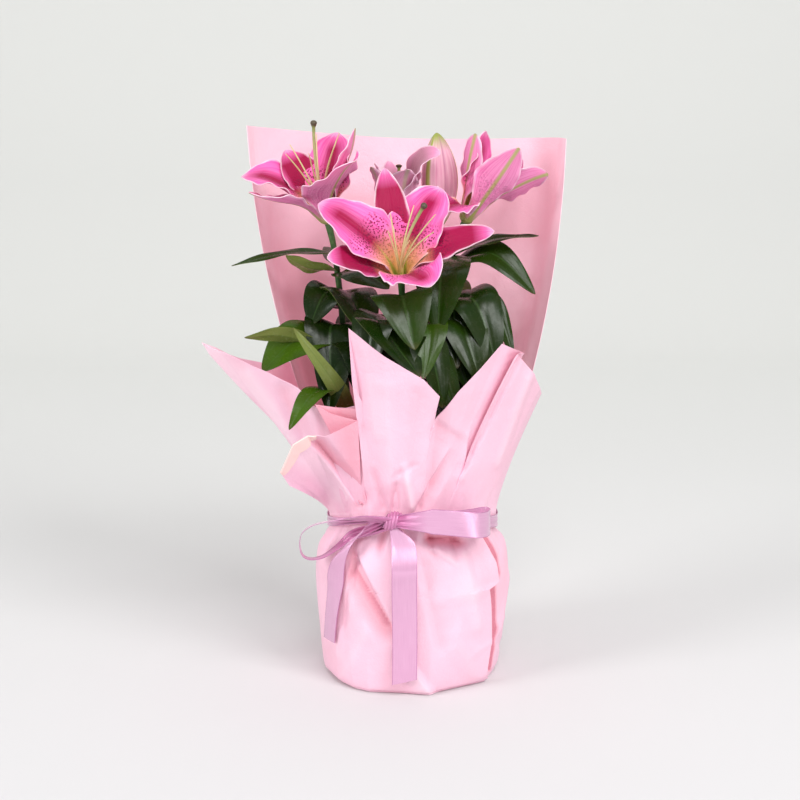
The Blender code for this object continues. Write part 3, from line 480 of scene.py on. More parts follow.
def wrap_body(angle, share, out=0.0):
    """The wrap round the pot on a grid of angles and shares, 0 at the middle of the base, 1 at the tie.

    A profile of radius and height is turned round the pot. It is moved out along its own normal,
    gathers deepen with height up to the tie, the foot's fold is pulled out to its corners, and the
    pleats and creases are pressed in.
    """
    tie = tie_height(angle)
    stops = np.zeros((len(BODY_STOPS) + 2, len(angle), 2))
    stops[:-2] = BODY_STOPS[:, None, :]
    stops[-2:, :, 0] = TIE_RADIUS
    stops[-2, :, 1] = tie - NECK_HALF
    stops[-1, :, 1] = tie + NECK_HALF
    profile = smooth_path(stops, share)
    rise = unit(np.gradient(profile, axis=0))
    radius, height = profile[..., 0], np.maximum(profile[..., 1], 0)
    gathers = GATHER_DEPTH * gather(angle) * np.clip(height / TIE_HEIGHT, 0, 1) ** 1.5
    gathers = gathers + pleats(angle, np.maximum(0, tie - height)) * (height > 2 * FOOT_FOLD_HEIGHT / 3)
    low = np.clip(1 - height / FOOT_FOLD_HEIGHT, 0, 1) ** 1.3
    radius = radius * (1 + low * (foot_scale(angle) - 1)) + out * rise[..., 1] + gathers
    height = height - out * rise[..., 0]
    front = np.clip(-np.sin(angle) * 3, 0, 1)
    radius = radius + front * creases(radius * np.cos(angle), height, BODY_CREASES)
    radius = radius + crumples(np.mod(angle + math.pi, math.tau) - math.pi, height) * (share[:, None] > 0.25)
    radius = np.where(share[:, None] > 0, np.maximum(radius, 0), 0)
    return ring(radius, angle, height + PAPER / 2)


def round_pot(grid, clearance):
    """Pushes the points beside the pot's wall out to the clearance from it, and leaves the others."""
    x, y, height = np.moveaxis(grid, -1, 0)
    wall = np.interp(height, (0, POT_HEIGHT), (POT_FOOT_RADIUS, POT_RIM_RADIUS)) + clearance
    beside = (height > HELD_FROM) & (height < POT_HEIGHT + HELD_ABOVE_RIM)
    out = np.where(beside, np.maximum(1, wall / np.maximum(np.hypot(x, y), MM)), 1)
    return np.stack([x * out, y * out, height], axis=-1)


def flare(foot, rim, share, knees):
    """The paper's path from the tie to the rim: a cubic curve with two knees, each so far out and up.

    It starts from the tie's plain round, and the foot's pleats fade out over lengths that vary round it.
    """
    radius = np.hypot(foot[:, 0], foot[:, 1])
    plain = foot * np.stack([radius.mean() / radius, radius.mean() / radius, np.ones(len(foot))], axis=-1)
    angle = np.arctan2(foot[:, 1], foot[:, 0])
    length = PLEAT_REACH * (1 + 0.35 * np.cos(11 * angle) + 0.3 * np.cos(17 * angle + 1))
    reach = rim - plain
    near = plain + reach * (knees[0][0], knees[0][0], knees[0][1])
    far = plain + reach * (knees[1][0], knees[1][0], knees[1][1])
    fade = np.clip(1 - share[:, None] * np.linalg.norm(reach, axis=-1) / length, 0, 1)
    share = share[:, None, None]
    back = 1 - share
    curve = back**3 * plain + 3 * back**2 * share * near + 3 * back * share**2 * far + share**3 * rim
    return curve + (foot - plain) * fade[..., None]


def fans(angle, share, seed, count, depth):
    """Long folds that fan out from the tie: straight-sided ridges and hollows, which swell with the
    height and die out at the rim. Their places, widths and depths are drawn at random."""
    random = np.random.default_rng(seed)
    total = np.zeros((len(share), len(angle)))
    for i in range(count):
        middle = angle.min() + np.ptp(angle) * (i + random.uniform(0.1, 0.9)) / count
        width = random.uniform(0.05, 0.22)
        slant = random.uniform(-0.2, 0.2)
        tall = random.uniform(-1, 1) * depth
        ridge = np.clip(1 - np.abs(angle - middle - slant * share[:, None]) / width, 0, 1)
        total += tall * ridge * np.sin(math.pi * share**0.7)[:, None]
    return total


def pressed(grid, rows, wrapped=False):
    """Presses creases, given as seen from the front, into a grid along its normals. They die out where
    the sheet turns edge on to the front."""
    depth = creases(grid[..., 0], grid[..., 2], rows)
    towards = normals(grid, wrapped)
    return grid + towards * (depth * np.clip(-3 * towards[..., 1], -1, 1))[..., None]


# How a fold's depth, in metres, paints shade and light on the paper: the two depths, the painted tint's
# share at each, and the tint. Hollows get painted shade, deeper in colour and dark where deep, and crests
# get painted light, pale.
FOLD_PAINTED_SHADE_AND_LIGHT = (
    (-0.006, 0.0, 0.6, 0.0, (0.82, 0.30, 0.38)),
    (-0.012, -0.007, 0.75, 0.0, (0.50, 0.09, 0.15)),
    (0.0008, 0.004, 0.0, 0.40, (0.95, 0.80, 0.87)),
)
PAPER_FIBRE = (0.93, 0.76, 0.80)
# The colour of the paper's painted light, given off as emission.
PAINTED_GLOW_COLOUR = (1.0, 0.34, 0.44)


def paper_material(name, low, high, painted_glow):
    """Waxed paper whose tint wanders a little between two colours. A little of its own colour is given off
    as emission: painted light that stands in for the light through the thin paper and between its sheets."""
    made, tree, shader = new_material(name, 0.5)
    shader.inputs["Emission Color"].default_value = (*PAINTED_GLOW_COLOUR, 1)
    shader.inputs["Emission Strength"].default_value = painted_glow
    where = place(tree)
    cloud = noise(tree, where, 14.0, 4.0)
    fibre = noise(tree, where, 700.0, 4.0, 0.6)
    colour = ramp(tree, cloud, [(0.3, low), (0.7, high)])
    fold = carried(tree, "fold")
    # The fold value paints shade into the hollows and light onto the crests.
    for *depths, tint in FOLD_PAINTED_SHADE_AND_LIGHT:
        colour = blend(tree, level(tree, fold, *depths), colour, tint)
    coat(tree, shader, blend(tree, level(tree, fibre, 0.35, 0.7, 0.0, 0.10), colour, PAPER_FIBRE))
    tree.links.new(level(tree, fibre, 0.3, 0.7, 0.44, 0.56), shader.inputs["Roughness"])
    handled = noise(tree, where, 38.0, 3.0, 0.4)
    relief = times(tree, handled, 6.0)
    roughen(tree, shader, plus(tree, relief, fibre), 0.00025)
    return made


# The last number is how strong the paper's painted light is.
paper = paper_material("wrap_paper", (0.83, 0.48, 0.60), (0.86, 0.55, 0.69), 0.05)

# The square sheet
# It lies flat under the pot, goes up its sides, through the tie, and out to four free corners.

BASE_RIM = np.array([
    (0, -77, 200), (-28, -82, 244), (-52, -84, 274), (-77, -80, 267), (-90, -75, 272), (-103, -68, 286),
    (-130, -56, 298), (-162, -43, 310), (-194, -30, 322), (-172, 8, 303), (-146, 46, 288), (-112, 86, 284),
    (-66, 116, 296), (-12, 134, 338), (46, 119, 300), (82, 84, 272), (92, 44, 246), (88, 6, 200),
    (80, -24, 200), (62, -46, 198), (42, -63, 196), (20, -73, 196),
]) * MM
BASE_KNEES = ((0.28, 0.24), (0.62, 0.56))
BASE_CREASES = (
    (-86, 176, -118, 282, 16, 10, -3.0),
    (-98, 196, -150, 296, 12, 12, 2.4),
    (-124, 204, -186, 312, 12, 14, 3.2),
)
# Where the paper is painted paler without a crease, painted light on the left corner, in the same form.
BASE_PAINTED_LIGHT = ((-190, 318, -104, 214, 24, 26, 4.0),)
# The front sheet's free edge, down the right side of the pot: how far up the wrap's profile, and where
# round it, in degrees. So many degrees beyond it, the square sheet is pressed in, and just past that it is
# darkened by painted shade, the shadow in the gap under the edge.
FRONT_EDGE = (
    (0.25, -33), (0.30, -38), (0.45, -38.5), (0.583, -44.5), (0.597, -36), (0.70, -37), (0.84, -41),
    (0.90, -44), (0.95, -12), (1.0, -6),
)
GAP_PLACE = 8.5
GAP_WIDTH = 4.5
GAP_DEPTH = 4 * MM
# Painted shade beyond the edge: where it is darkest, in degrees past the edge, how far it spreads, and how
# deep a fold it paints.
SHADE_PLACE = 10.5
SHADE_WIDTH = 3.5
SHADE_DEPTH = 20 * MM
# The painted shade and light fade out towards the back over this length.
PAINTED_SHADE_FADE = 25 * MM
BASE_CLEARANCE = 1.0 * MM
BASE_FANS = 26
BASE_FAN_DEPTH = 3.4 * MM
BASE_COLUMNS = 14 * len(BASE_RIM)
BASE_BODY_ROWS = 70
BASE_FLARE_ROWS = 40


def base_sheet():
    """Rings from the middle of the base out, up the wrapped body to the tie, then on by the flare to the
    rim. Fans are raised on the flare, and creases are pressed in. Its value is how deep it is folded, with
    painted shade and light added, and it paints shade and light on the paper."""
    around = np.arange(BASE_COLUMNS) / BASE_COLUMNS
    angle = -math.pi / 2 - math.tau * around
    share = np.linspace(0, 1, BASE_BODY_ROWS)
    body = wrap_body(angle, share)
    edge = np.interp(share, *np.transpose(FRONT_EDGE))[:, None]
    beyond = np.degrees(np.mod(angle, math.tau) - math.tau) - edge
    along_edge = np.clip(np.minimum(share - 0.25, 0.9 - share) / 0.06, 0, 1)[:, None]
    gap = GAP_DEPTH * along_edge * np.clip(1 - np.abs(beyond - GAP_PLACE) / GAP_WIDTH, 0, 1)
    shade = SHADE_DEPTH * along_edge * np.clip(1 - np.abs(beyond - SHADE_PLACE) / SHADE_WIDTH, 0, 1)
    outward = unit(body[..., :2] + 1e-9)
    body[..., :2] -= outward * gap[..., None]
    body = round_pot(body, BASE_CLEARANCE)
    rim = straight_path(np.concatenate([BASE_RIM, BASE_RIM[:1]]), around)
    share = np.linspace(0, 1, BASE_FLARE_ROWS + 1)[1:]
    upper = flare(body[-1], rim, share, BASE_KNEES)
    upper = upper - normals(upper, True) * fans(angle, share, 5, BASE_FANS, BASE_FAN_DEPTH)[..., None]
    grid = pressed(np.concatenate([body, upper]), BASE_CREASES, True)
    fold = creases(grid[..., 0], grid[..., 2], BASE_CREASES + BODY_CREASES + BASE_PAINTED_LIGHT)
    fold *= np.clip(-grid[..., 1] / PAINTED_SHADE_FADE, 0, 1)
    # Painted shade: the shadow in the gap under the front sheet's standing edge.
    fold[:BASE_BODY_ROWS] -= shade
    return thin_sheets([(grid, PAPER, True, {"fold": fold})], weld=1e-6)


dressed("base_wrap", base_sheet(), paper, "wrap_paper", "base_sheet")

# The front sheet
# A second sheet over the front of the pot: a tall point in the middle, a corner turned over at the
# left, a fold at the right, and a free edge down its right side that stands off the sheet behind.

# Its rim, corner by corner from the left: (x, y, height), then where round the tie, in degrees, the
# paper below it comes from. Where x runs back, the paper is folded behind itself.
FRONT_RIM = np.array([
    (-112, -80, 199, -170), (-119, -98, 216, -165), (-107, -104, 243, -160), (-94, -99, 250, -153),
    (-79, -96, 248, -145), (-66, -95, 254, -136), (-50, -93, 262, -127), (-74, -86, 267, -126),
    (-88, -84, 275, -125.5), (-70, -82, 272, -125), (-42, -90, 272, -124.3), (-54, -104, 298, -123.5),
    (-57, -113, 349, -117), (-26, -118, 325, -107), (9, -118, 304, -95), (23, -113, 288, -87),
    (13, -99, 254, -82), (39, -100, 289, -78), (60, -94, 310, -74), (79, -83, 330, -70),
    (100, -64, 318, -66), (94, -79, 319, -64.5), (109, -60, 299, -46), (117, -34, 280, -26),
    (121, 2, 268, -6),
])
FRONT_KNEES = ((0.20, 0.32), (0.56, 0.64))
FRONT_LOW_SHARE = 0.25
FRONT_CLEARANCE = 2.2 * MM
FRONT_LIFT = 6 * MM
FRONT_FREE_EDGE = 0.14
FRONT_CREASES = (
    (-89, 238, -53, 181, 2, 15, -6.5),
    (22, 268, 15, 200, 5, 12, -2.5),
    (30, 226, 4, 180, 2, 12, -3.0),
    (23, 258, 46, 240, 20, 5, -2.0),
    (49, 240, 46, 208, 7, 2, 2.5),
    (96, 314, 48, 212, 15, 1, -3.2),
    (-24, 300, -20, 200, 24, 20, 1.6),
    (4, 290, -6, 214, 14, 12, -1.4),
    (-44, 330, -34, 250, 10, 16, 1.2),
    (104, 296, 78, 214, 8, 8, 2.5),
    (-7, 214, -1, 180, 5, 6, 3.6),
    (-16, 200, -17, 176, 5, 6, -3.4),
    (-13, 210, -2, 217, 2, 6, -2.0),
    (-34, 206, -27, 178, 6, 5, -2.4),
)
# Painted light, paler, without a crease: the turned corner's face. Painted shade, deeper: beside its crease,
# beside the body's main one, and over the paper folded behind the corner, from one place along the rim to
# another.
FRONT_PAINTED_SHADE_AND_LIGHT = (
    (-100, 236, -60, 186, 22, 11, 6.5),
    (-86, 240, -51, 182, 1, 12, -5.0),
    (-50, 116, -22, 72, 22, 2, -7.0),
)
INNER_FROM = 4.4
INNER_TO = 10.4
INNER_SHADE = 6 * MM
FRONT_SEGMENTS = len(FRONT_RIM) - 1
FRONT_COLUMNS = 14 * FRONT_SEGMENTS + 1
FRONT_BODY_ROWS = 80
FRONT_FLARE_ROWS = 60
TURNED_FROM = 0.9 / FRONT_SEGMENTS
TURNED_TO = 3.6 / FRONT_SEGMENTS
TURNED_WIDTH = 14 * MM
TURNED_LIFT = 1.3 * MM


def front_grid():
    """The sheet's middle surface. Each row of the body runs from the left edge to the free edge, which
    stands off the sheet below; above the tie, the rows climb to the rim."""
    across = np.linspace(0, 1, FRONT_COLUMNS)
    rim = straight_path(FRONT_RIM, across)
    left, last = np.radians(FRONT_RIM[[0, -1], 3])
    onward = (np.radians(rim[:, 3]) - left) / (last - left)
    share = np.linspace(FRONT_LOW_SHARE, 1, FRONT_BODY_ROWS)
    right = np.radians(np.interp(share, *np.transpose(FRONT_EDGE)))
    free = np.clip(1 - (1 - onward) / FRONT_FREE_EDGE, 0, 1) ** 2
    lift = FRONT_LIFT * np.sin(math.pi * np.clip((share - FRONT_LOW_SHARE) / (0.95 - FRONT_LOW_SHARE), 0, 1))
    rows = []
    for at, last_angle, off in zip(share, right, lift):
        angle = left + (last_angle - left) * onward
        near = np.clip(at + np.array([-0.01, 0, 0.01]), 0, 1)
        rows.append(wrap_body(angle, near, LAYER_STEP + off * free)[1])
    body = round_pot(np.stack(rows), FRONT_CLEARANCE)
    upper = flare(body[-1], rim[:, :3] * MM, np.linspace(0, 1, FRONT_FLARE_ROWS + 1)[1:], FRONT_KNEES)
    return pressed(np.concatenate([body, upper]), FRONT_CREASES)


def turned_edge(grid):
    """The corner's rim, rolled out and pressed down over the sheet's face: from each rim point the paper
    makes a half turn, then lies back down the sheet for the width, which tapers at both ends."""
    first, last = int(TURNED_FROM * (grid.shape[1] - 1)), int(TURNED_TO * (grid.shape[1] - 1))
    rim = grid[-1, first:last]
    down = unit(grid[-7, first:last] - rim)
    outward = normals(grid)[-2, first:last]
    outward = outward * np.sign(-outward[:, 1:2])
    taper = np.sin(math.pi * np.linspace(0, 1, last - first)) ** 0.5
    turn = np.linspace(0, math.pi, 9)[:, None, None]
    half = TURNED_LIFT / 2
    roll = rim + outward * (half * (1 - np.cos(turn))) - down * (half * np.sin(turn))
    reach = np.linspace(0, 1, 12)[1:, None, None] * (TURNED_WIDTH * taper[:, None])
    flat = rim + outward * (2 * half + 0.06 * reach) + down * reach
    return np.concatenate([roll, flat])


front = front_grid()
front_painted_shading = creases(front[..., 0], front[..., 2], BODY_CREASES + FRONT_CREASES + FRONT_PAINTED_SHADE_AND_LIGHT)
corner = np.linspace(0, FRONT_SEGMENTS, front.shape[1])
inner = np.clip(np.minimum(corner - INNER_FROM, INNER_TO - corner), 0, 1)
# Painted shade over the paper folded behind the turned corner.
front_painted_shading -= INNER_SHADE * inner * np.clip(front[..., 2] / TIE_HEIGHT - 1, 0, 0.5) * 2
front_mesh = thin_sheets([(front, PAPER, False, {"fold": front_painted_shading})])
dressed("front_wrap", front_mesh, paper, "wrap_paper", "front_sheet")
# The reverse side's salmon cream, with the same painted light given off.
paper_back = paper_material("wrap_paper_reverse", (0.86, 0.56, 0.53), (0.90, 0.68, 0.63), 0.05)
edge = thin_sheets([(turned_edge(front), PAPER, False, {})])
dressed("turned_edge", edge, paper_back, "wrap_paper")

# The back sheet
# A tall sheet that stands behind the plant, with its foot in the pot's mouth. Its side margins curl
# forward, and soft upright folds run up it from the tie.

BACK_RIM = np.array([
    (-153, 14, 517), (-146, 46, 514), (-122, 72, 510), (-79, 90, 505), (-36, 101, 501), (7, 105, 499),
    (46, 101, 499), (83, 90, 500), (116, 72, 502), (136, 44, 504), (141, 12, 505),
]) * MM
BACK_KNEES = ((0.08, 0.17), (0.86, 0.48))
BACK_FROM = math.radians(182)
BACK_TO = math.radians(-2)
BACK_FOOT = SOIL_TOP + 1.2 * MM
BACK_FOOT_RADIUS = 69.5 * MM
BACK_STEP_IN = -1.1 * LAYER_STEP
BACK_FOLDS = 2.4 * MM
BACK_FANS = 14
BACK_FAN_DEPTH = 3.6 * MM
BACK_MARGINS = (0.15, 0.08)
BACK_MARGIN_TURN = 5 * MM
# Painted shade and light on the paper behind the leaves: painted shade, deeper below at the left, and
# painted light, paler below at the right, where its share is under 0, and pale along the side margins.
BACK_SHADE_TOP = 440 * MM
BACK_SHADE_FOOT = 280 * MM
BACK_PAINTED_SHADE = 6 * MM
BACK_PAINTED_LIGHT = 4 * MM
BACK_RIGHT_PAINTED_SHADE_SHARE = -0.9
BACK_COLUMNS = 12 * (len(BACK_RIM) - 1) + 1
BACK_FOOT_ROWS = 10
BACK_FLARE_ROWS = 84


def back_wrap():
    """Rows from the foot in the pot's mouth straight up to the tie, then on by the flare to the rim. Slow
    waves across, which die out at both ends, and straight fans are raised, and the margins turned in."""
    across = np.linspace(0, 1, BACK_COLUMNS)
    angle = BACK_FROM + (BACK_TO - BACK_FROM) * across
    neck = wrap_body(angle, np.array([0.98, 0.99, 1.0]), BACK_STEP_IN)[-1]
    foot = ring(BACK_FOOT_RADIUS, angle, BACK_FOOT)
    lower = foot + (neck - foot) * np.linspace(0, 1, BACK_FOOT_ROWS)[:, None, None]
    share = np.linspace(0, 1, BACK_FLARE_ROWS + 1)[1:]
    upper = flare(neck, smooth_path(BACK_RIM, across), share, BACK_KNEES)
    folds = np.sin(29 * across + 1.1 * np.sin(7 * across)) + 0.5 * np.sin(53 * across + 2)
    depth = BACK_FOLDS * folds * (np.sin(math.pi * share) ** 0.8 * (1 - 0.55 * share))[:, None]
    margins = np.clip(1 - across / BACK_MARGINS[0], 0, 1) + np.clip(1 - (1 - across) / BACK_MARGINS[1], 0, 1)
    depth = depth - BACK_MARGIN_TURN * margins * (share**0.6 * (1 - share))[:, None] * 2
    depth = depth + fans(angle[::-1], share, 8, BACK_FANS, BACK_FAN_DEPTH)
    upper = upper + normals(upper) * depth[..., None]
    grid = np.concatenate([lower, upper])
    # Painted shade below at the left, and painted light below at the right and along the margins.
    deep = np.clip((BACK_SHADE_TOP - grid[..., 2]) / (BACK_SHADE_TOP - BACK_SHADE_FOOT), 0, 1)
    deep = deep * np.interp(across, (0, 0.35, 0.7), (1, 1, BACK_RIGHT_PAINTED_SHADE_SHARE))
    margin_painted_light = np.clip(2 * margins, 0, 1)
    fold = BACK_PAINTED_LIGHT * margin_painted_light - BACK_PAINTED_SHADE * deep * (1 - margin_painted_light)
    return thin_sheets([(grid, PAPER, False, {"fold": fold})])


# The back sheet's paper is paler and gives off more painted light: a lit copy of the paper, standing in for
# the light through it from behind.
paper_back_painted_light = paper_material("wrap_paper_back_painted_light", (0.90, 0.52, 0.62), (0.93, 0.61, 0.72), 0.16)
dressed("back_wrap", back_wrap(), paper_back_painted_light, "wrap_paper", "back_sheet")

# The ribbon
# One length of lilac satin ribbon, about 23 mm wide, passed round the neck of the wrap and tied in a
# bow at the front. It is pulled tight at the knot, and its two ends are cut on the slant.

RIBBON_WIDTH = 23 * MM
RIBBON = 0.5 * MM
RIBBON_COLUMNS = 13
BAND_RADIUS = TIE_RADIUS + LAYER_STEP + GATHER_DEPTH + 1.4 * MM
KNOT_PLACE = np.array([-19, -88, 168.5]) * MM
RIGHT_LOOP = np.array([
    (-20, -91, 168.5), (-4, -97, 170), (17, -101, 171), (37, -103, 170), (55, -102, 168), (66, -91, 166),
    (70, -76, 165), (64, -68, 164.5), (50, -79, 165), (30, -89, 166), (5, -93, 167.5), (-20, -90.5, 168.5),
]) * MM
LEFT_LOOP = np.array([
    (-19, -91, 169), (-33, -96, 172), (-47, -98, 173.5), (-62, -95, 172), (-76, -88, 168), (-91, -79, 162),
    (-101, -71, 153), (-104, -67, 142), (-102, -67, 131), (-95, -68, 127), (-83, -68, 129), (-69, -66, 138),
    (-56, -67, 149), (-38, -80, 158), (-19, -89, 166),
]) * MM
# Which way the ribbon's width points, from the knot out along each loop and back to it.
RIGHT_WIDTHS = (
    (0, 0.1, 1), (0, 0.05, 1), (0, 0.1, 1), (0, 0.4, 1), (0, 0.3, 1), (0, 0.1, 1), (0, 0.1, 1), (0, 0.1, 1),
    (0, 0.1, 1),
)
LEFT_WIDTHS = ((0.1, -0.75, 0.66), (0.05, -1, 0.26), (0.03, -1, 0.2), (0.1, -1, 0.1), (0.41, -0.24, -0.82))
# The tails from the knot down: (degrees round the pot, height, how far out), in mm. Where the wrap is
# further out than that, the tail lies on the wrap.
FRONT_TAIL = np.array([
    (-102, 168, 91), (-97.7, 159, 92), (-95.3, 147, 95.5), (-94.4, 126, 104), (-94.6, 109, 101),
    (-94.6, 82, 97), (-94.6, 50, 95.5), (-94.8, 17, 95),
])
LEFT_TAIL = np.array([
    (-106, 167.5, 91), (-118, 158, 97), (-124, 147.5, 101), (-131, 132, 102), (-136.5, 114, 98),
    (-140, 93, 93), (-144, 68, 91), (-148.5, 42, 89),
])
TAIL_GAP = 2.4 * MM
TAIL_SLANT = 6 * MM
# The radius, in mm, at which a tail's degrees are read as a length.
TAIL_TURN_RADIUS = 90
TAIL_LANDING = 3 * MM
TAIL_SWAY = 0.8 * MM
# The turn round the neck: where it is scrunched narrowest, in degrees, and its share of the full width
# so many degrees from there.
BAND_NARROW = -103
BAND_SHARES = ((0, 0.24), (30, 0.24), (80, 0.5), (120, 0.6))
BAND_SCRUNCH = 0.9 * MM
PLEAT_DEPTH = 1.5 * MM
PLEATED_SHARE = 0.38
# The knot's half length, its half depth and half height, and how far it leans; and the radius at which
# its weave is measured round it.
KNOT_HALF = 6.5 * MM
KNOT_DEEP = 6.6 * MM
KNOT_TALL = 7.6 * MM
KNOT_LEAN = 2.6 * MM
KNOT_WEAVE_RADIUS = 8 * MM


def folded_across(width, pinch):
    """A cross-section of the ribbon: flat where pinch is 0, and pleated and narrowed where it is 1."""
    u = np.linspace(-1, 1, RIBBON_COLUMNS)[None, :]
    pinch = pinch[:, None]
    aside = u * width / 2 * (1 - (1 - PLEATED_SHARE) * pinch)
    pleat = pinch * PLEAT_DEPTH * np.cos(2.5 * math.pi * u + 0.6)
    return aside, pleat, np.broadcast_to(u, pleat.shape)


def ribbon_values(line, u, pinch):
    """What the weave follows: metres along the ribbon, -1 to 1 across it, and how pleated it is."""
    steps = np.linalg.norm(np.diff(line, axis=0), axis=-1)
    along = np.concatenate([[0], np.cumsum(steps)])
    return {"along": along[:, None], "across": u, "pinch": pinch[:, None]}


def ribbon_loop(line, widths, gathered, count=90):
    """A bow loop: the line carries the ribbon's width, which turns smoothly between its directions. The
    ribbon is pleated together over the gathered share of its length, at the start and at the end."""
    v = np.linspace(0, 1, count)
    middle = smooth_path(line, v)
    pinch = np.clip(np.maximum(1 - v / gathered[0], 1 - (1 - v) / gathered[1]), 0, 1) ** 0.8
    aside, pleat, u = folded_across(RIBBON_WIDTH, pinch)
    direction = unit(smooth_path(widths, v))
    facing = unit(np.cross(direction, np.gradient(middle, axis=0)))
    grid = middle[:, None] + direction[:, None] * aside[..., None] + facing[:, None] * pleat[..., None]
    return grid, RIBBON, False, ribbon_values(middle, u, pinch)


def wrap_radius(angle, height):
    """How far out the front sheet's outer face is, below the tie."""
    share = np.linspace(0.2, 1, 60)
    body = wrap_body(np.atleast_1d(angle), share, LAYER_STEP)
    radii = np.hypot(body[..., 0], body[..., 1])
    return np.array([np.interp(h, body[:, i, 2], radii[:, i]) for i, h in enumerate(height)])


def ribbon_tail(stops, gathered, slant, count=64):
    """A tail: a smooth line round and down, as far out as its stops say but never inside the wrap."""
    v = np.linspace(0, 1, count)
    line = smooth_path(stops, v)
    turn, drop = np.gradient(line[:, :2], axis=0).T
    angle, height, free = np.radians(line[:, 0]), line[:, 1] * MM, line[:, 2] * MM
    tangent = unit(np.stack([-drop, np.radians(turn) * TAIL_TURN_RADIUS], axis=-1))
    pinch = np.clip(1 - v / gathered, 0, 1)
    aside, pleat, u = folded_across(RIBBON_WIDTH, pinch)
    lying = wrap_radius(angle, height) + TAIL_GAP
    radius = (lying + free + np.sqrt((lying - free) ** 2 + TAIL_LANDING**2)) / 2
    angles = angle[:, None] + tangent[:, :1] * aside / radius[:, None]
    heights = height[:, None] - tangent[:, 1:] * aside + slant * u / 2 * np.clip(v - 0.8, 0, 1)[:, None] * 5
    sway = TAIL_SWAY * np.sin(9 * v)[:, None] * u * (1 - pinch[:, None])
    radii = radius[:, None] + pleat + sway
    grid = ring(radii, angles, heights)
    return grid, RIBBON, False, ribbon_values(grid[:, grid.shape[1] // 2], u, pinch)


def ribbon_band():
    """The turn round the neck: a band that follows the tie's height, is scrunched narrow at the knot, and
    is waved across where it is."""
    angle = np.linspace(0, math.tau, 160, endpoint=False) - math.pi / 2
    from_knot = np.abs((np.degrees(angle) - BAND_NARROW + 180) % 360 - 180)
    narrow = np.interp(from_knot, *np.transpose(BAND_SHARES))
    u = np.linspace(-1, 1, RIBBON_COLUMNS)[:, None]
    radius = BAND_RADIUS + BAND_SCRUNCH * np.cos(7 * u + 1.2 * np.sin(2 * angle)) * (0.6 - narrow) * 5
    grid = ring(radius, angle, tie_height(angle) + u * RIBBON_WIDTH / 2 * narrow)
    # Its pinch value paints a little of the pleats' painted shade on the band.
    return grid, RIBBON, True, {"along": (angle + math.pi / 2) * BAND_RADIUS, "across": u, "pinch": 0.3}


def satin_material():
    """Glossy lilac satin: fine threads run along and across it, its edges are darker, and painted shade
    makes its pleats deeper in colour."""
    made, tree, shader = new_material("satin_ribbon", 0.21)
    along, across = carried(tree, "along"), carried(tree, "across")
    threads = add(tree, "CombineXYZ", X=times(tree, along, 40.0), Y=times(tree, across, 60.0))
    weave = noise(tree, threads.outputs["Vector"], 1.0, 2.0)
    colour = ramp(tree, weave, [(0.3, (0.66, 0.33, 0.52)), (0.7, (0.77, 0.43, 0.63))])
    edge = level(tree, maths(tree, "ABSOLUTE", across), 0.93, 0.97)
    # Painted shade in the pleats, by how pinched the ribbon is.
    pleated = level(tree, carried(tree, "pinch"), 0.15, 0.7, 0.0, 0.75)
    colour = blend(tree, pleated, colour, (0.52, 0.10, 0.30))
    coat(tree, shader, blend(tree, edge, colour, (0.52, 0.21, 0.40)))
    shader.inputs["Specular IOR Level"].default_value = 1.0
    shader.inputs["Metallic"].default_value = 0.25
    shader.inputs["Sheen Weight"].default_value = 0.25
    shader.inputs["Sheen Roughness"].default_value = 0.4
    roughen(tree, shader, maths(tree, "SUBTRACT", weave, edge), 0.00012)
    return made


def ribbon_knot():
    """The knot: a short turn of ribbon round the crossing, an oval tube along x whose size swells in
    slanting pleats and falls with the square of the distance from its middle."""
    v = np.linspace(0, math.tau, 72, endpoint=False)[None, :]
    u = np.linspace(-1, 1, 31)[:, None]
    swell = 1 + 0.17 * np.abs(np.sin(2.2 * math.pi * u + 1.3 * np.sin(v) + 0.6)) - 0.34 * u**2
    x = u * KNOT_HALF + KNOT_LEAN * np.sin(v)
    y = -KNOT_DEEP * swell * np.cos(v)
    z = KNOT_TALL * swell * np.sin(v)
    grid = KNOT_PLACE + np.stack([x, y, z], axis=-1)
    # Its pinch value paints the pleats' painted shade on the knot.
    return grid, RIBBON, True, {"along": v * KNOT_WEAVE_RADIUS, "across": u, "pinch": 0.6}


ribbon_sheets = [
    ribbon_band(),
    ribbon_knot(),
    ribbon_loop(RIGHT_LOOP, RIGHT_WIDTHS, (0.18, 0.2)),
    ribbon_loop(LEFT_LOOP, LEFT_WIDTHS, (0.2, 0.5)),
    ribbon_tail(FRONT_TAIL, 0.16, TAIL_SLANT),
    ribbon_tail(LEFT_TAIL, 0.25, -TAIL_SLANT),
]
bow = dressed("satin_bow", thin_sheets(ribbon_sheets), satin_material(), "satin_ribbon", "ribbon")

# The stems and leaves
# Three upright green stems, each with lance-shaped glossy leaves set singly round it from the soil
# to the blooms. The leaves arch out and down, with parallel veins and a channel along the middle.

STEM_RADIUS = 4.2 * MM
STEM_ROWS = 60
# The radii of a flower stalk at its two ends, in mm, and how far short of the bloom's foot it stops.
STALK_RADII = (2.4, 3.3)
STALK_ROWS = 24
STALK_STOP = 0.5 * MM
STEM_LINES = {
    "left": np.array([
        (-34, 2, 77), (-34, 2, 116), (-37, 2, 150), (-52, 1, 205), (-62, 0, 270), (-66, -2, 345),
        (-72, -8, 402),
    ]) * MM,
    "front": np.array([
        (-7, -38, 77), (-7, -38, 116), (-7, -39, 150), (-8, -43, 205), (-8, -47, 270), (-9, -50, 330),
        (-10, -53, 362),
    ]) * MM,
    "right": np.array([
        (24, 14, 77), (24, 14, 116), (24, 14, 150), (24, 13, 205), (25, 12, 270), (27, 12, 340),
        (31, 13, 396),
    ]) * MM,
}
# The blooms on each stem, and how high up it their stalks leave it, in mm.
STALKS = {
    "left": (("left", 396),),
    "front": (("front", 356),),
    "right": (("bud", 388), ("right", 376), ("back", 358)),
}
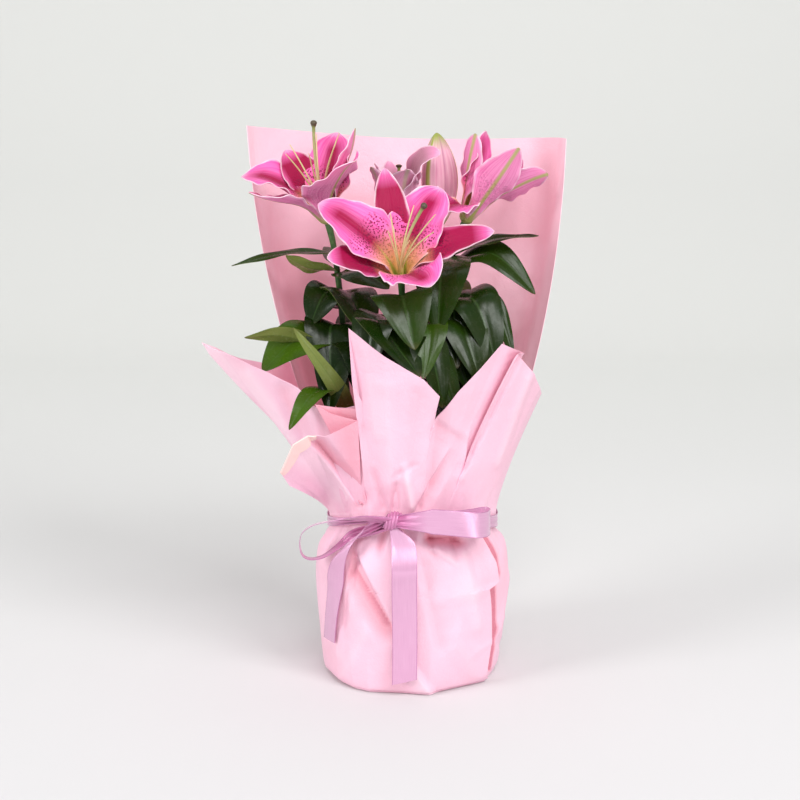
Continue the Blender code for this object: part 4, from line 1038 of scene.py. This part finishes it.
# For each bloom: its foot in mm, the way it faces, its tepals and its style. Each tepal is (angle round
# the axis, length and width in mm, the lean at the throat, in the middle and at the tip, and the twist
# along it, in degrees).
BLOOMS = {
    "front": {
        "foot": (-11, -62, 384), "facing": (-0.05, -0.58, 0.81),
        "inner": (
            (58, 92, 54, 16, 58, 96, 0), (154, 102, 50, 16, 56, 84, -8), (300, 64, 56, 17, 62, 100, 0),
        ),
        "outer": ((2, 98, 33, 22, 66, 84, 14), (99, 98, 31, 22, 52, 62, 0), (196, 76, 40, 26, 60, 70, -10)),
        "style": {"length": 74, "bend": (0.34, 0.16), "filament_spread": 0.30},
    },
    "left": {
        "foot": (-78, -16, 431), "facing": (-0.25, -0.22, 0.94),
        "inner": ((164, 92, 54, 14, 54, 98, 0), (54, 80, 60, 14, 36, 44, 0), (316, 86, 62, 14, 48, 72, 0)),
        "outer": (
            (220, 88, 42, 24, 62, 44, 0), (120, 76, 38, 19, 38, 50, 0), (10, 86, 44, 19, 36, 20, -30),
        ),
        "style": {"length": 88, "bend": (0.14, 0.10), "filament_spread": 0.30},
    },
    "back": {
        "foot": (-13, 10, 424), "facing": (0.0, 0.05, 1.0),
        "inner": ((285, 60, 30, 10, 28, 56, 0), (165, 60, 28, 10, 20, 30, 0), (45, 60, 28, 10, 20, 24, 0)),
        "outer": (
            (338, 82, 40, 10, 14, 112, 50), (225, 62, 24, 18.5, 30, 40, 0), (105, 66, 24, 18.5, 30, 40, 0),
        ),
        "style": {"length": 52, "bend": (0.0, 0.05), "filament_spread": 0.10},
    },
    "right": {
        "foot": (48, 6, 429), "facing": (0.42, -0.02, 0.90),
        "inner": (
            (236, 62, 40, 30, 105, 150, 0), (352, 86, 44, 12, 38, 50, -60), (128, 84, 44, 12, 20, 10, 30),
        ),
        "outer": (
            (176, 78, 34, 14, 16, 10, 60), (290, 88, 40, 18.5, 22, 16, 0), (52, 80, 34, 18.5, 34, 24, 0),
        ),
        "style": {"length": 56, "bend": (0.0, 0.0), "filament_spread": 0.10},
    },
    "bud": {"foot": (24, 38, 419), "facing": (-0.02, 0.0, 1.0)},
}
# Leaves: height of the root on the stem, a point halfway, the tip, the width in mm, the twist in degrees,
# and how bright a green, from 0 to 1.
LEAVES = {
    "left": (
        (402, (-118, -12, 402), (-166, -24, 392), 14, -20, 0.5),
        (385, (-95, -16, 389), (-116, -28, 402), 24, 35, 1.0),
        (349, (-87, 12, 354), (-92, 22, 328), 36, 0, 0.2),
        (364, (-82, -14, 364), (-94, -28, 338), 44, -20, 0.1),
        (319, (-104, -26, 325), (-138, -40, 297), 50, -32, 1.0),
        (289, (-110, -36, 327), (-153, -50, 330), 26, 45, 0.9),
        (238, (-69, -58, 285), (-108, -66, 342), 18, 60, 0.7),
        (262, (-88, -64, 283), (-111, -94, 254), 24, -12, 1.0),
        (365, (-56, -36, 366), (-40, -64, 333), 56, -10, 0.3),
        (382, (-48, -28, 388), (-22, -46, 374), 42, 30, 0.25),
        (392, (-68, 34, 399), (-58, 60, 384), 32, 0, 0.3),
        (330, (-44, 30, 337), (-30, 58, 316), 38, 0, 0.1),
        (330, (-76, -28, 334), (-74, -52, 276), 52, -12, 0.05),
        (300, (-72, -34, 312), (-76, -62, 262), 44, 0, 0.1),
        (312, (-48, -36, 322), (-44, -60, 282), 50, 10, 0.0),
        (284, (-46, -28, 294), (-38, -58, 262), 44, 0, 0.1),
        (300, (-66, 24, 306), (-70, 42, 290), 34, 0, 0.3),
        (222, (-66, -16, 232), (-80, -30, 226), 24, 0, 0.4),
    ),
    "front": (
        (358, (-10, -76, 371), (1, -96, 327), 58, 8, 0.5),
        (338, (-26, -74, 344), (5, -99, 303), 60, -12, 0.1),
        (332, (12, -70, 342), (9, -92, 300), 42, 12, 0.75),
        (340, (-34, -70, 348), (-40, -88, 306), 50, -10, 0.15),
        (322, (14, -72, 322), (26, -86, 272), 42, 10, 0.2),
        (326, (-12, -76, 330), (-22, -92, 276), 48, 0, 0.1),
        (310, (-30, -64, 316), (-48, -78, 276), 44, 0, 0.2),
        (300, (20, -62, 308), (40, -84, 258), 44, 10, 0.4),
        (282, (-8, -76, 292), (-4, -92, 258), 42, 0, 0.2),
        (330, (-24, -30, 334), (-28, -12, 308), 34, 0, 0.2),
        (300, (0, -24, 308), (4, -6, 286), 34, 0, 0.1),
        (262, (-24, -66, 272), (-40, -74, 256), 34, 0, 0.2),
        (270, (12, -62, 282), (30, -70, 256), 36, 0, 0.2),
        (346, (12, -30, 352), (18, -8, 330), 38, 0, 0.1),
    ),
    "right": (
        (394, (74, -8, 414), (114, -28, 420), 17, 20, 0.2),
        (396, (25, -46, 388), (22, -70, 339), 54, 0, 0.35),
        (384, (72, -6, 401), (112, -24, 366), 32, 42, 0.45),
        (362, (72, -6, 354), (93, -20, 307), 24, 40, 0.4),
        (352, (56, -28, 360), (76, -46, 303), 52, 18, 0.2),
        (338, (44, -34, 342), (61, -58, 289), 50, 10, 0.4),
        (318, (36, -26, 324), (52, -52, 280), 46, 0, 0.1),
        (306, (62, -10, 328), (78, -32, 296), 28, 20, 0.5),
        (356, (36, -24, 360), (40, -52, 302), 46, 0, 0.0),
        (320, (54, -12, 322), (66, -30, 274), 44, 0, 0.15),
        (365, (37, 44, 370), (56, 68, 348), 32, 0, 0.3),
        (330, (12, 40, 336), (-4, 64, 312), 38, 0, 0.2),
        (380, (8, 42, 384), (-4, 64, 362), 34, 0, 0.3),
        (300, (32, -22, 300), (34, -50, 256), 44, 0, 0.1),
        (268, (50, -4, 280), (66, -10, 262), 36, 0, 0.2),
        (240, (30, 46, 252), (30, 70, 246), 26, 0, 0.4),
    ),
}
LEAF = 0.6 * MM
LEAF_FOLD = 0.36
LEAF_WAVE = 1.3 * MM
UP = np.array([0.0, 0.0, 1.0])


def tube(line, radii, sides=12):
    """A round stem: a circle carried along the line and turned square to it, closed by a point at
    either end."""
    along = unit(np.gradient(line, axis=0))
    helper = np.where(np.abs(along[:, :1]) > 0.9, (0.0, 1.0, 0.0), (1.0, 0.0, 0.0))
    first = unit(np.cross(along, helper))
    second = np.cross(along, first)
    turn = np.linspace(0, math.tau, sides, endpoint=False)[None, :, None]
    circle = np.cos(turn) * first[:, None] + np.sin(turn) * second[:, None]
    radii = np.concatenate([[0], radii, [0]])[:, None, None]
    line = np.concatenate([line[:1], line, line[-1:]])
    return line[:, None] + circle[[0, *range(len(circle)), -1]] * radii


def solid_grids(grids, weld=1e-7):
    """One mesh of closed grids, each a ring of columns whose first and last rows are single points.

    Each grid comes with its values, one number or one a point.
    """
    points, faces, kept, count = [], [], [], 0
    for grid, values in grids:
        shape = grid.shape[:2]
        index = count + np.arange(shape[0] * shape[1]).reshape(shape)
        count += index.size
        points.append(grid.reshape(-1, 3))
        faces.append(quads(index, True))
        kept.append({key: np.broadcast_to(value, shape).ravel() for key, value in values.items()})
    gathered = {key: np.concatenate([values[key] for values in kept]) for key in kept[0]}
    return mesh_from(np.concatenate(points), np.concatenate(faces), gathered, weld)


def stem_point(line, height):
    """The point of the stem's middle line at a height."""
    path = smooth_path(line, np.linspace(0, 1, 121))
    return np.array([np.interp(height, path[:, 2], path[:, axis]) for axis in range(3)])


def stalk_path(line, height, bloom):
    """From the stem, out and up, and into the foot of the bloom along its axis: a curve with one knee."""
    foot = np.array(BLOOMS[bloom]["foot"]) * MM
    facing = unit(np.array(BLOOMS[bloom]["facing"], float))
    start = stem_point(line, height * MM)
    end = foot - facing * STALK_STOP
    knee = end - facing * 0.55 * np.linalg.norm(end - start)
    t = np.linspace(0, 1, STALK_ROWS)[:, None]
    return (1 - t) ** 2 * start + 2 * t * (1 - t) * knee + t**2 * end


def leaf_width(share):
    """A lance shape: narrow at the stem, widest just short of halfway, drawn to a point."""
    blade = np.sin(math.pi * share**0.86) ** 0.9 * (1 - 0.25 * share)
    return 0.24 * (1 - share) ** 6 + 1.06 * blade + 0.02


def leaf(line, row, phase, columns=11, rows=34):
    """An arched blade. A smooth line from the stem by the middle point to the tip carries the width. Each
    half rises from the midrib and bends down again, the margin is waved, and the twist is complete by
    the middle of the blade."""
    height, middle, tip, width, twist, bright = row
    root = stem_point(line, height * MM)
    v = np.linspace(0, 1, rows)
    path = smooth_path(np.array([root, np.array(middle) * MM, np.array(tip) * MM]), v)
    side = np.cross(UP, unit((path[-1] - root) * (1, 1, 0)))
    along = unit(np.gradient(path, axis=0))
    above = unit(np.cross(along, side))
    lean = np.radians(twist) * np.clip(2 * v[:, None], 0, 1)
    across = np.cos(lean) * side + np.sin(lean) * above
    above = np.cross(along, across)
    u = np.linspace(1, -1, columns)[None, :]
    offset = u * width * MM / 2 * leaf_width(v)[:, None]
    fold = LEAF_FOLD * np.abs(offset) * (1 - 0.62 * np.abs(u))
    wave = LEAF_WAVE * u**2 * np.sin(13 * v[:, None] + phase + 2 * u) * np.sin(math.pi * v)[:, None]
    grid = path[:, None] + across[:, None] * offset[..., None] + above[:, None] * (fold + wave)[..., None]
    return grid, LEAF, False, {"across": u, "along": v[:, None], "tone": bright}


def leaf_material():
    """Glossy green, darker or brighter by the leaf's own tone: a pale midrib, parallel veins, a tip gone
    a little brown, and a duller, paler underside."""
    made, tree, shader = new_material("leaf_green", 0.30)
    shader.inputs["Specular IOR Level"].default_value = 0.25
    across, along = carried(tree, "across"), carried(tree, "along")
    under, tone = carried(tree, "underside"), carried(tree, "tone")
    where = place(tree)
    greens = [(0.0, (0.003, 0.015, 0.001)), (0.5, (0.016, 0.042, 0.002)), (1.0, (0.046, 0.105, 0.004))]
    dull = level(tree, noise(tree, where, 60.0), 0.35, 0.7, 0.0, 0.35)
    top = blend(tree, dull, ramp(tree, tone, greens), (0.026, 0.032, 0.006))
    below = ramp(tree, tone, [(0.0, (0.10, 0.13, 0.03)), (1.0, (0.20, 0.24, 0.06))])
    colour = blend(tree, under, top, below)
    midrib = level(tree, maths(tree, "ABSOLUTE", across), 0.02, 0.07, 0.35, 0.0)
    colour = blend(tree, midrib, colour, (0.06, 0.13, 0.03))
    tip = level(tree, along, 0.9, 1.0, 0.0, 0.5)
    coat(tree, shader, blend(tree, tip, colour, (0.10, 0.075, 0.03)))
    veins = maths(tree, "SINE", times(tree, across, 24.0))
    blotch = noise(tree, where, 240.0)
    roughen(tree, shader, plus(tree, veins, blotch), 0.000015)
    tree.links.new(level(tree, blotch, 0.3, 0.7, 0.20, 0.30), shader.inputs["Roughness"])
    return made


def stem_material():
    """Green with fine darker flecks."""
    made, tree, shader = new_material("stem_green", 0.45)
    where = place(tree)
    flecks = noise(tree, where, 320.0, 2.0)
    colour = ramp(tree, flecks, [(0.3, (0.030, 0.085, 0.022)), (0.7, (0.075, 0.15, 0.04))])
    coat(tree, shader, colour)
    roughen(tree, shader, flecks, 0.0002)
    return made


leaf_green, stem_green = leaf_material(), stem_material()
for which, line in STEM_LINES.items():
    up = np.linspace(0, 1, STEM_ROWS)
    thick = STEM_RADIUS * (1 - 0.35 * up) * (1 + 0.03 * np.sin(np.arange(STEM_ROWS) * 2.1))
    grids = [(tube(smooth_path(line, up), thick), {})]
    for bloom, height in STALKS[which]:
        radii = np.linspace(*STALK_RADII, STALK_ROWS) * MM
        grids.append((tube(stalk_path(line, height, bloom), radii), {}))
    dressed(f"stem_{which}_stalks", solid_grids(grids), stem_green, "leaf_green")
    blades = thin_sheets([leaf(line, row, 1.9 * i) for i, row in enumerate(LEAVES[which])])
    dressed(f"stem_{which}_leaves", blades, leaf_green, "leaf_green", f"stem_{which}")

# The open blooms
# Each has six tepals, three broad inner ones over three narrow outer ones, grown from a small cup.
# They are white at the margin, crimson along the middle, spotted, and golden green in the throat.

TEPAL = 0.7 * MM
CLAW_RADIUS = 6 * MM
# How far above the bloom's foot the tepals start.
TEPAL_FOOT = 2 * MM
# The cup's profile: height above the bloom's foot and radius, in mm.
CUP_STOPS = ((-1.4, 2.6), (-0.6, 3.6), (0.6, 5.2), (1.8, 6.2), (3.2, 6.4), (4.6, 5.8))
TEPAL_CUP = 0.34
TEPAL_GROOVE = 0.9 * MM
TEPAL_GROOVE_WIDTH = 3 * MM
# The two kinds of tepal: how far out it is rooted, where along it is full width, how blunt its tip is,
# how high its margin waves, and how many columns it has.
INNER = {"root": 0.72, "full_at": 0.42, "blunt": 2.3, "waves": 4.0 * MM, "columns": 33}
OUTER = {"root": 1.05, "full_at": 0.50, "blunt": 2.2, "waves": 2.3 * MM, "columns": 25}


def bloom_frame(bloom):
    """The bloom's own axes: right and up across it as seen from in front, and its facing."""
    facing = unit(np.array(bloom["facing"], float))
    right = unit(np.array([1.0, 0, 0]) - facing[0] * facing)
    return right, np.cross(facing, right), facing


def tepal_lean(v, throat, middle, tip):
    """The lean from the bloom's axis along a tepal, in degrees: it opens smoothly to the middle value
    by just past halfway, then faster and faster to the tip's."""
    opening = np.clip(v / 0.55, 0, 1)
    curl = np.clip((v - 0.55) / 0.45, 0, 1)
    return throat + (middle - throat) * (3 * opening**2 - 2 * opening**3) + (tip - middle) * curl**1.6


def tepal_width(v, kind):
    """A narrow claw, a full middle and a blunt point, as a share of the full width."""
    claw = 0.16 + 0.84 * np.clip(v / kind["full_at"], 0, 1) ** 1.25
    point = np.maximum(0, 1 - np.clip(2 * v - 1, 0, 1) ** kind["blunt"])
    return claw * (0.03 + 0.97 * point**0.8)


def tepal(axes, foot, row, kind, phase, rows=56):
    """One tepal. The lean, summed along its length, gives its path out and up, and the blade twists
    round that path. Across it, the blade rises with the square of the distance from the midrib, dips in
    a narrow groove along it, and waves more towards the margin, in long waves and short frills."""
    angle, length, width, *leans, twist = row
    right, above, facing = axes
    turn = math.radians(angle)
    outward = math.cos(turn) * right + math.sin(turn) * above
    side = np.cross(facing, outward)
    v = np.linspace(0, 1, rows)
    tilt = np.radians(tepal_lean(v, *leans))
    between = (tilt[1:] + tilt[:-1]) / 2
    step = length * MM / (rows - 1)
    radial = CLAW_RADIUS * kind["root"] + np.concatenate([[0], np.cumsum(np.sin(between))]) * step
    height = np.concatenate([[0], np.cumsum(np.cos(between))]) * step
    inward = np.sin(tilt)[:, None] * facing - np.cos(tilt)[:, None] * outward
    turn = np.radians(twist) * v[:, None]
    side, inward = np.cos(turn) * side + np.sin(turn) * inward, np.cos(turn) * inward - np.sin(turn) * side
    u = np.linspace(1, -1, kind["columns"])[None, :]
    v = v[:, None]
    half = width * MM / 2 * tepal_width(v, kind)
    cup = TEPAL_CUP * half * u**2 * (1 - 0.5 * v)
    dip = np.exp(-((u * half / TEPAL_GROOVE_WIDTH) ** 2)) * np.sin(math.pi * np.minimum(1, 1.2 * v))
    wave = u**2 * np.sin(11 * v + phase + 1.5 * u) * np.sin(math.pi * v) ** 0.5
    frill = 0.42 * np.abs(u) ** 5 * np.sin(34 * v + 2.3 * phase + 2.0 * u) * np.sin(math.pi * v)
    rise = cup - TEPAL_GROOVE * dip + kind["waves"] * (wave + frill)
    path = foot + outward * radial[:, None] + facing * height[:, None]
    grid = path[:, None] + side[:, None] * (u * half)[..., None] + inward[:, None] * rise[..., None]
    values = {
        "aside": u * half,
        "from_midrib": np.abs(u) * half,
        "from_margin": (1 - np.abs(u)) * half,
        "across": u,
        "along": v,
        "length_along": v * length * MM,
        "seed": phase,
        "narrow": float(kind is OUTER),
    }
    return grid, TEPAL, False, values


def petal_material(name, pale):
    """The tepals' finish: veined pink, a crimson band along the midrib, a white margin and tip, dark spots,
    a golden throat and a green nectary; outside, mauve pink with a green rib. Pale is how far the whole
    bloom has faded towards mauve, from 0 to 1."""
    made, tree, shader = new_material(name, 0.48)
    shader.inputs["Specular IOR Level"].default_value = 0.2
    midrib, margin = carried(tree, "from_midrib"), carried(tree, "from_margin")
    across, along, under = carried(tree, "across"), carried(tree, "along"), carried(tree, "underside")
    run, seed = carried(tree, "length_along"), carried(tree, "seed")
    where = place(tree)
    cloud = noise(tree, where, 70.0, 3.0)
    streaks = add(tree, "CombineXYZ", X=times(tree, across, 16.0), Y=times(tree, along, 2.2), Z=seed)
    vein = noise(tree, streaks.outputs["Vector"], 1.0, 3.0)
    veined = level(tree, vein, 0.3, 0.7)
    loose_margin = plus(tree, margin, times(tree, maths(tree, "SUBTRACT", cloud, 0.5), 0.004))
    pink = blend(tree, veined, (0.86, 0.08, 0.38), (0.94, 0.22, 0.54))
    from_band = plus(tree, midrib, times(tree, vein, 0.005))
    from_band = maths(tree, "SUBTRACT", from_band, times(tree, carried(tree, "narrow"), 0.009))
    deep = level(tree, from_band, 0.005, 0.017, 1.0, 0.0)
    deep = times(tree, deep, level(tree, along, 0.10, 0.35))
    deep = times(tree, deep, level(tree, along, 0.80, 0.97, 1.0, 0.0))
    inside = blend(tree, deep, pink, (0.34, 0.001, 0.056))
    white = level(tree, loose_margin, -0.0004, 0.0016, 0.9, 0.0)
    tip = level(tree, plus(tree, along, times(tree, vein, 0.12)), 0.99, 1.12, 0.0, 0.8)
    white = maths(tree, "MAXIMUM", white, tip)
    white = times(tree, white, level(tree, along, 0.05, 0.3))
    inside = blend(tree, white, inside, (0.93, 0.78, 0.85))
    grid = add(tree, "CombineXYZ", X=plus(tree, carried(tree, "aside"), seed), Y=run)
    spots = add(tree, "TexVoronoi", {"voronoi_dimensions": "2D"}, Vector=grid.outputs["Vector"], Scale=400.0)
    size = plus(tree, spots.outputs["Distance"], times(tree, cloud, 0.3))
    spot = level(tree, size, 0.34, 0.44, 1.0, 0.0)
    spot = times(tree, spot, level(tree, along, 0.12, 0.18))
    spot = times(tree, spot, level(tree, along, 0.52, 0.64, 1.0, 0.0))
    spot = times(tree, spot, level(tree, margin, 0.003, 0.006))
    inside = blend(tree, spot, inside, (0.27, 0.003, 0.06))
    gold = level(tree, plus(tree, along, times(tree, vein, 0.1)), 0.18, 0.48, 1.0, 0.0)
    inside = blend(tree, gold, inside, (0.88, 0.50, 0.20))
    nectary = plus(tree, midrib, times(tree, along, 0.012))
    inside = blend(tree, level(tree, nectary, 0.002, 0.005, 1.0, 0.0), inside, (0.36, 0.42, 0.06))
    outside = blend(tree, veined, (0.74, 0.15, 0.38), (0.87, 0.31, 0.55))
    outside = blend(tree, level(tree, loose_margin, 0.0, 0.0022, 0.7, 0.0), outside, (0.88, 0.66, 0.77))
    rib = level(tree, midrib, 0.0008, 0.0028, 0.9, 0.0)
    rib_greens = [(0.0, (0.30, 0.36, 0.06)), (0.55, (0.42, 0.36, 0.12)), (1.0, (0.40, 0.42, 0.14))]
    outside = blend(tree, rib, outside, ramp(tree, along, rib_greens))
    outside = blend(tree, level(tree, along, 0.02, 0.16, 0.9, 0.0), outside, (0.36, 0.36, 0.10))
    colour = blend(tree, under, inside, outside)
    coat(tree, shader, blend(tree, pale, colour, (0.72, 0.48, 0.60)))
    shader.inputs["Sheen Weight"].default_value = 0.05
    relief = plus(tree, vein, times(tree, spot, 1.5))
    roughen(tree, shader, relief, 0.0005)
    return made


def cup_grid(facing, foot):
    """The small cup at the foot of the bloom: its profile turned round the bloom's axis."""
    heights, radii = np.transpose(CUP_STOPS) * MM
    return tube(foot + facing * heights[:, None], radii, 24)


petal_pink, petal_faded = petal_material("petal_pink", 0.0), petal_material("petal_faded", 0.45)
OPEN_BLOOMS = {"front": petal_pink, "left": petal_pink, "back": petal_faded, "right": petal_pink}


def receptacle_material():
    """Two dull greens in fine clouds."""
    made, tree, shader = new_material("receptacle_green", 0.5)
    cloud = noise(tree, place(tree), 180.0)
    colour = ramp(tree, cloud, [(0.3, (0.20, 0.22, 0.05)), (0.7, (0.38, 0.36, 0.12))])
    coat(tree, shader, colour)
    return made


receptacle_green = receptacle_material()
for which, paint in OPEN_BLOOMS.items():
    bloom = BLOOMS[which]
    foot = np.array(bloom["foot"]) * MM
    axes = bloom_frame(bloom)
    rows = [(row, INNER) for row in bloom["inner"]] + [(row, OUTER) for row in bloom["outer"]]
    petals = thin_sheets([
        tepal(axes, foot + axes[2] * TEPAL_FOOT, row, kind, 1.7 * (i + len(which)))
        for i, (row, kind) in enumerate(rows)
    ])
    dressed(f"bloom_{which}_petals", petals, paint, "petal_pink", f"bloom_{which}_tepals")
    cup = solid_grids([(cup_grid(axes[2], foot), {})])
    dressed(f"bloom_{which}_cup", cup, receptacle_green, "style_green")

# The styles and filaments
# From the middle of each bloom rises a pale green style that ends in a dark knob, the stigma, among
# six thin filaments. The pollen anthers have been picked off, so the filaments end bare.

# How far above the bloom's foot they start.
STYLE_FOOT = 5.5 * MM
# Along the style, from 0 at its foot to 1, and its radius there: the ovary, the stalk and the stigma.
STYLE_STOPS = np.array([0, 0.05, 0.13, 0.19, 0.26, 0.6, 0.93, 0.955, 0.975, 0.99, 1.0])
STYLE_RADII = np.array([2.2, 2.7, 2.6, 2.0, 1.4, 1.25, 1.5, 2.5, 3.1, 2.6, 1.2]) * MM
FILAMENTS = 6
FILAMENT_FROM = math.radians(25)
FILAMENT_STOPS = (0, 0.9, 1)
FILAMENT_RADII = np.array([1.0, 0.6, 0.35]) * MM
FILAMENT_RING = 0.8 * MM
# A filament's length, against its style's.
FILAMENT_REACH = 0.78


def style_material():
    """Yellow green that turns darker towards the brown stigma, with faint clouds."""
    made, tree, shader = new_material("style_green", 0.4)
    along = carried(tree, "along")
    cloud = noise(tree, place(tree), 260.0)
    greens = [(0.0, (0.50, 0.50, 0.12)), (0.4, (0.66, 0.56, 0.30)), (0.93, (0.20, 0.24, 0.06))]
    clouded = level(tree, cloud, 0.3, 0.7, 0.0, 0.2)
    stalk = blend(tree, clouded, ramp(tree, along, greens), (0.70, 0.62, 0.34))
    coat(tree, shader, blend(tree, level(tree, along, 0.935, 0.955), stalk, (0.075, 0.055, 0.03)))
    roughen(tree, shader, cloud, 0.0003)
    return made


style_green = style_material()
# Each style is a tube along a line that leans aside with the square of the share up it. The filaments
# lean half as much, and spread out round it.
for which in OPEN_BLOOMS:
    bloom = BLOOMS[which]
    style = bloom["style"]
    right, above, facing = bloom_frame(bloom)
    foot = np.array(bloom["foot"]) * MM + facing * STYLE_FOOT
    length = style["length"] * MM
    sweep = right * style["bend"][0] + above * style["bend"][1]
    v = np.unique(np.concatenate([np.linspace(0, 1, 30), STYLE_STOPS]))[:, None]
    line = foot + (facing * v + sweep * v**2) * length
    radii = np.interp(v[:, 0], STYLE_STOPS, STYLE_RADII)
    along = np.concatenate([[0], v[:, 0], [1]])[:, None]
    grids = [(tube(line, radii, 16), {"along": along})]
    for i in range(FILAMENTS):
        turn = math.tau * i / FILAMENTS + FILAMENT_FROM
        outward = math.cos(turn) * right + math.sin(turn) * above
        v = np.linspace(0.03, 1, 20)[:, None]
        aside = outward * (FILAMENT_RING + style["filament_spread"] * length * v**1.8)
        line = foot + aside + (facing * FILAMENT_REACH * v + sweep * 0.5 * v**2) * length
        grids.append((tube(line, np.interp(v[:, 0], FILAMENT_STOPS, FILAMENT_RADII), 8), {"along": 0.3}))
    dressed(f"bloom_{which}_style", solid_grids(grids), style_green, "style_green", f"bloom_{which}_pistil")

# The bud
# One tall bud that hasn't opened: three outer tepals folded edge to edge round the rest, pale mauve
# with green along their ribs and at the tip.

BUD_LENGTH = 90 * MM
BUD_RADIUS = 18.5 * MM
BUD_LOBE = 0.10
BUD_RIB = 0.05


def bud_mesh():
    """A spindle: its radius swells towards the top third, its section has three broad lobes, and a
    narrow ridge runs along the crest of each."""
    foot = np.array(BLOOMS["bud"]["foot"]) * MM
    right, above, facing = bloom_frame(BLOOMS["bud"])
    share = ((1 - np.cos(np.linspace(0, math.pi, 60))) / 2)[:, None]
    angle = np.linspace(0, math.tau, 72, endpoint=False)[None, :]
    swell = np.sin(math.pi * share**0.9) ** 0.62 * (0.72 + 0.56 * share - 0.34 * share**2)
    rib = np.maximum(0, np.cos(3 * angle))
    seam = np.maximum(0, -np.cos(3 * angle)) ** 24
    radius = BUD_RADIUS * swell * (1 + BUD_LOBE * np.cos(3 * angle) + BUD_RIB * rib**12 - 0.03 * seam)
    turned = np.cos(angle)[..., None] * right + np.sin(angle)[..., None] * above
    grid = foot + facing * (share * BUD_LENGTH)[..., None] + turned * radius[..., None]
    return solid_grids([(grid, {"along": share, "rib": rib, "seam": seam, "turn": angle})])


def bud_material():
    """Mauve pink streaked lengthwise, green on the three ribs and at both ends, darker in the seams."""
    made, tree, shader = new_material("bud_pink", 0.45)
    along, rib, seam, turn = (carried(tree, key) for key in ("along", "rib", "seam", "turn"))
    streaks = add(tree, "CombineXYZ", X=times(tree, turn, 7.0), Y=times(tree, along, 2.0))
    vein = noise(tree, streaks.outputs["Vector"], 1.0, 3.0)
    body = blend(tree, level(tree, vein, 0.3, 0.7), (0.70, 0.27, 0.42), (0.88, 0.56, 0.64))
    greens = [(0.0, (0.34, 0.38, 0.10)), (0.3, (0.46, 0.46, 0.15)), (1.0, (0.30, 0.36, 0.06))]
    ends = maths(tree, "MAXIMUM", level(tree, along, 0.04, 0.2, 1.0, 0.0), level(tree, along, 0.82, 0.97))
    on_green = maths(tree, "MAXIMUM", level(tree, rib, 0.88, 0.975), ends)
    colour = blend(tree, on_green, body, ramp(tree, along, greens))
    coat(tree, shader, blend(tree, times(tree, seam, 0.6), colour, (0.42, 0.16, 0.26)))
    roughen(tree, shader, vein, 0.0005)
    return made


dressed("bud_closed", bud_mesh(), bud_material(), "bud_pink", "bud_upright")

# The studio
# A pale sweep of paper under and behind the plant, and large soft lights: one from the right above, one
# above the view, a low one at either side, one from the left, one on the backdrop, and a white surround.


def sweep_mesh():
    """A floor that curves up into a wall: flat, then a quarter circle, then upright."""
    turn = np.linspace(0, math.pi / 2, 24)
    y = np.concatenate([[-3.0, 1.0], 1.6 + 0.8 * np.sin(turn), [2.4]])
    z = np.concatenate([[0.0, 0.0], 0.8 - 0.8 * np.cos(turn), [4.0]])
    x = np.array([-4.0, 4.0])
    grid = np.stack(np.broadcast_arrays(x[None, :], y[:, None], z[:, None]), axis=-1)
    mesh = mesh_from(grid, quads(np.arange(grid.size // 3).reshape(grid.shape[:2]), False))
    mesh.shade_smooth()
    return mesh


def sweep_material():
    """Matt pale grey, painted paler where the floor curves up into the wall and darker at the front and up
    the wall: painted light and shade that even out its brightness.
    """
    made, tree, shader = new_material("sweep", 0.9)
    depth = add(tree, "SeparateXYZ", Vector=place(tree)).outputs["Y"]
    greys_with_painted_light = [(0.0, (0.69, 0.685, 0.70)), (0.55, (0.74, 0.74, 0.735)), (0.8, (0.78, 0.785, 0.77))]
    greys_with_painted_light.append((1.0, (0.67, 0.675, 0.66)))
    coat(tree, shader, ramp(tree, level(tree, depth, -0.8, 2.2), greys_with_painted_light))
    shader.inputs["Specular IOR Level"].default_value = 0.1
    return made


sweep = bpy.data.objects.new("sweep", sweep_mesh())
sweep.data.materials.append(sweep_material())
bpy.context.scene.collection.objects.link(sweep)


def soft_light(name, place, target, size, watts):
    """A square soft box that faces a point."""
    data = bpy.data.lights.new(name, "AREA")
    data.size = size
    data.energy = watts
    lamp = bpy.data.objects.new(name, data)
    lamp.location = place
    lamp.rotation_euler = (Vector(target) - Vector(place)).to_track_quat("-Z", "Y").to_euler()
    bpy.context.scene.collection.objects.link(lamp)


soft_light("key", (2.4, -3.0, 3.0), (0, 0, 0.25), 1.8, 104)
soft_light("top", (0.3, -2.4, 2.6), (0, 0, 0.25), 1.0, 34)
soft_light("strip_right", (2.0, -1.25, 0.2), (0, 0, 0.2), 0.7, 9)
soft_light("strip_left", (-2.0, -1.35, 0.25), (0, 0, 0.2), 0.8, 8)
soft_light("fill", (-3.6, -2.4, 2.0), (0, 0, 0.25), 1.6, 82)
soft_light("backdrop", (0, 0.5, 2.6), (0, 2.4, 0.5), 2.0, 12)
world = bpy.data.worlds.new("surround")
world.use_nodes = True
world.node_tree.nodes["Background"].inputs["Color"].default_value = (1.0, 0.995, 0.98, 1)
world.node_tree.nodes["Background"].inputs["Strength"].default_value = 0.42
bpy.context.scene.world = world
bpy.context.scene.view_settings.view_transform = "Standard"
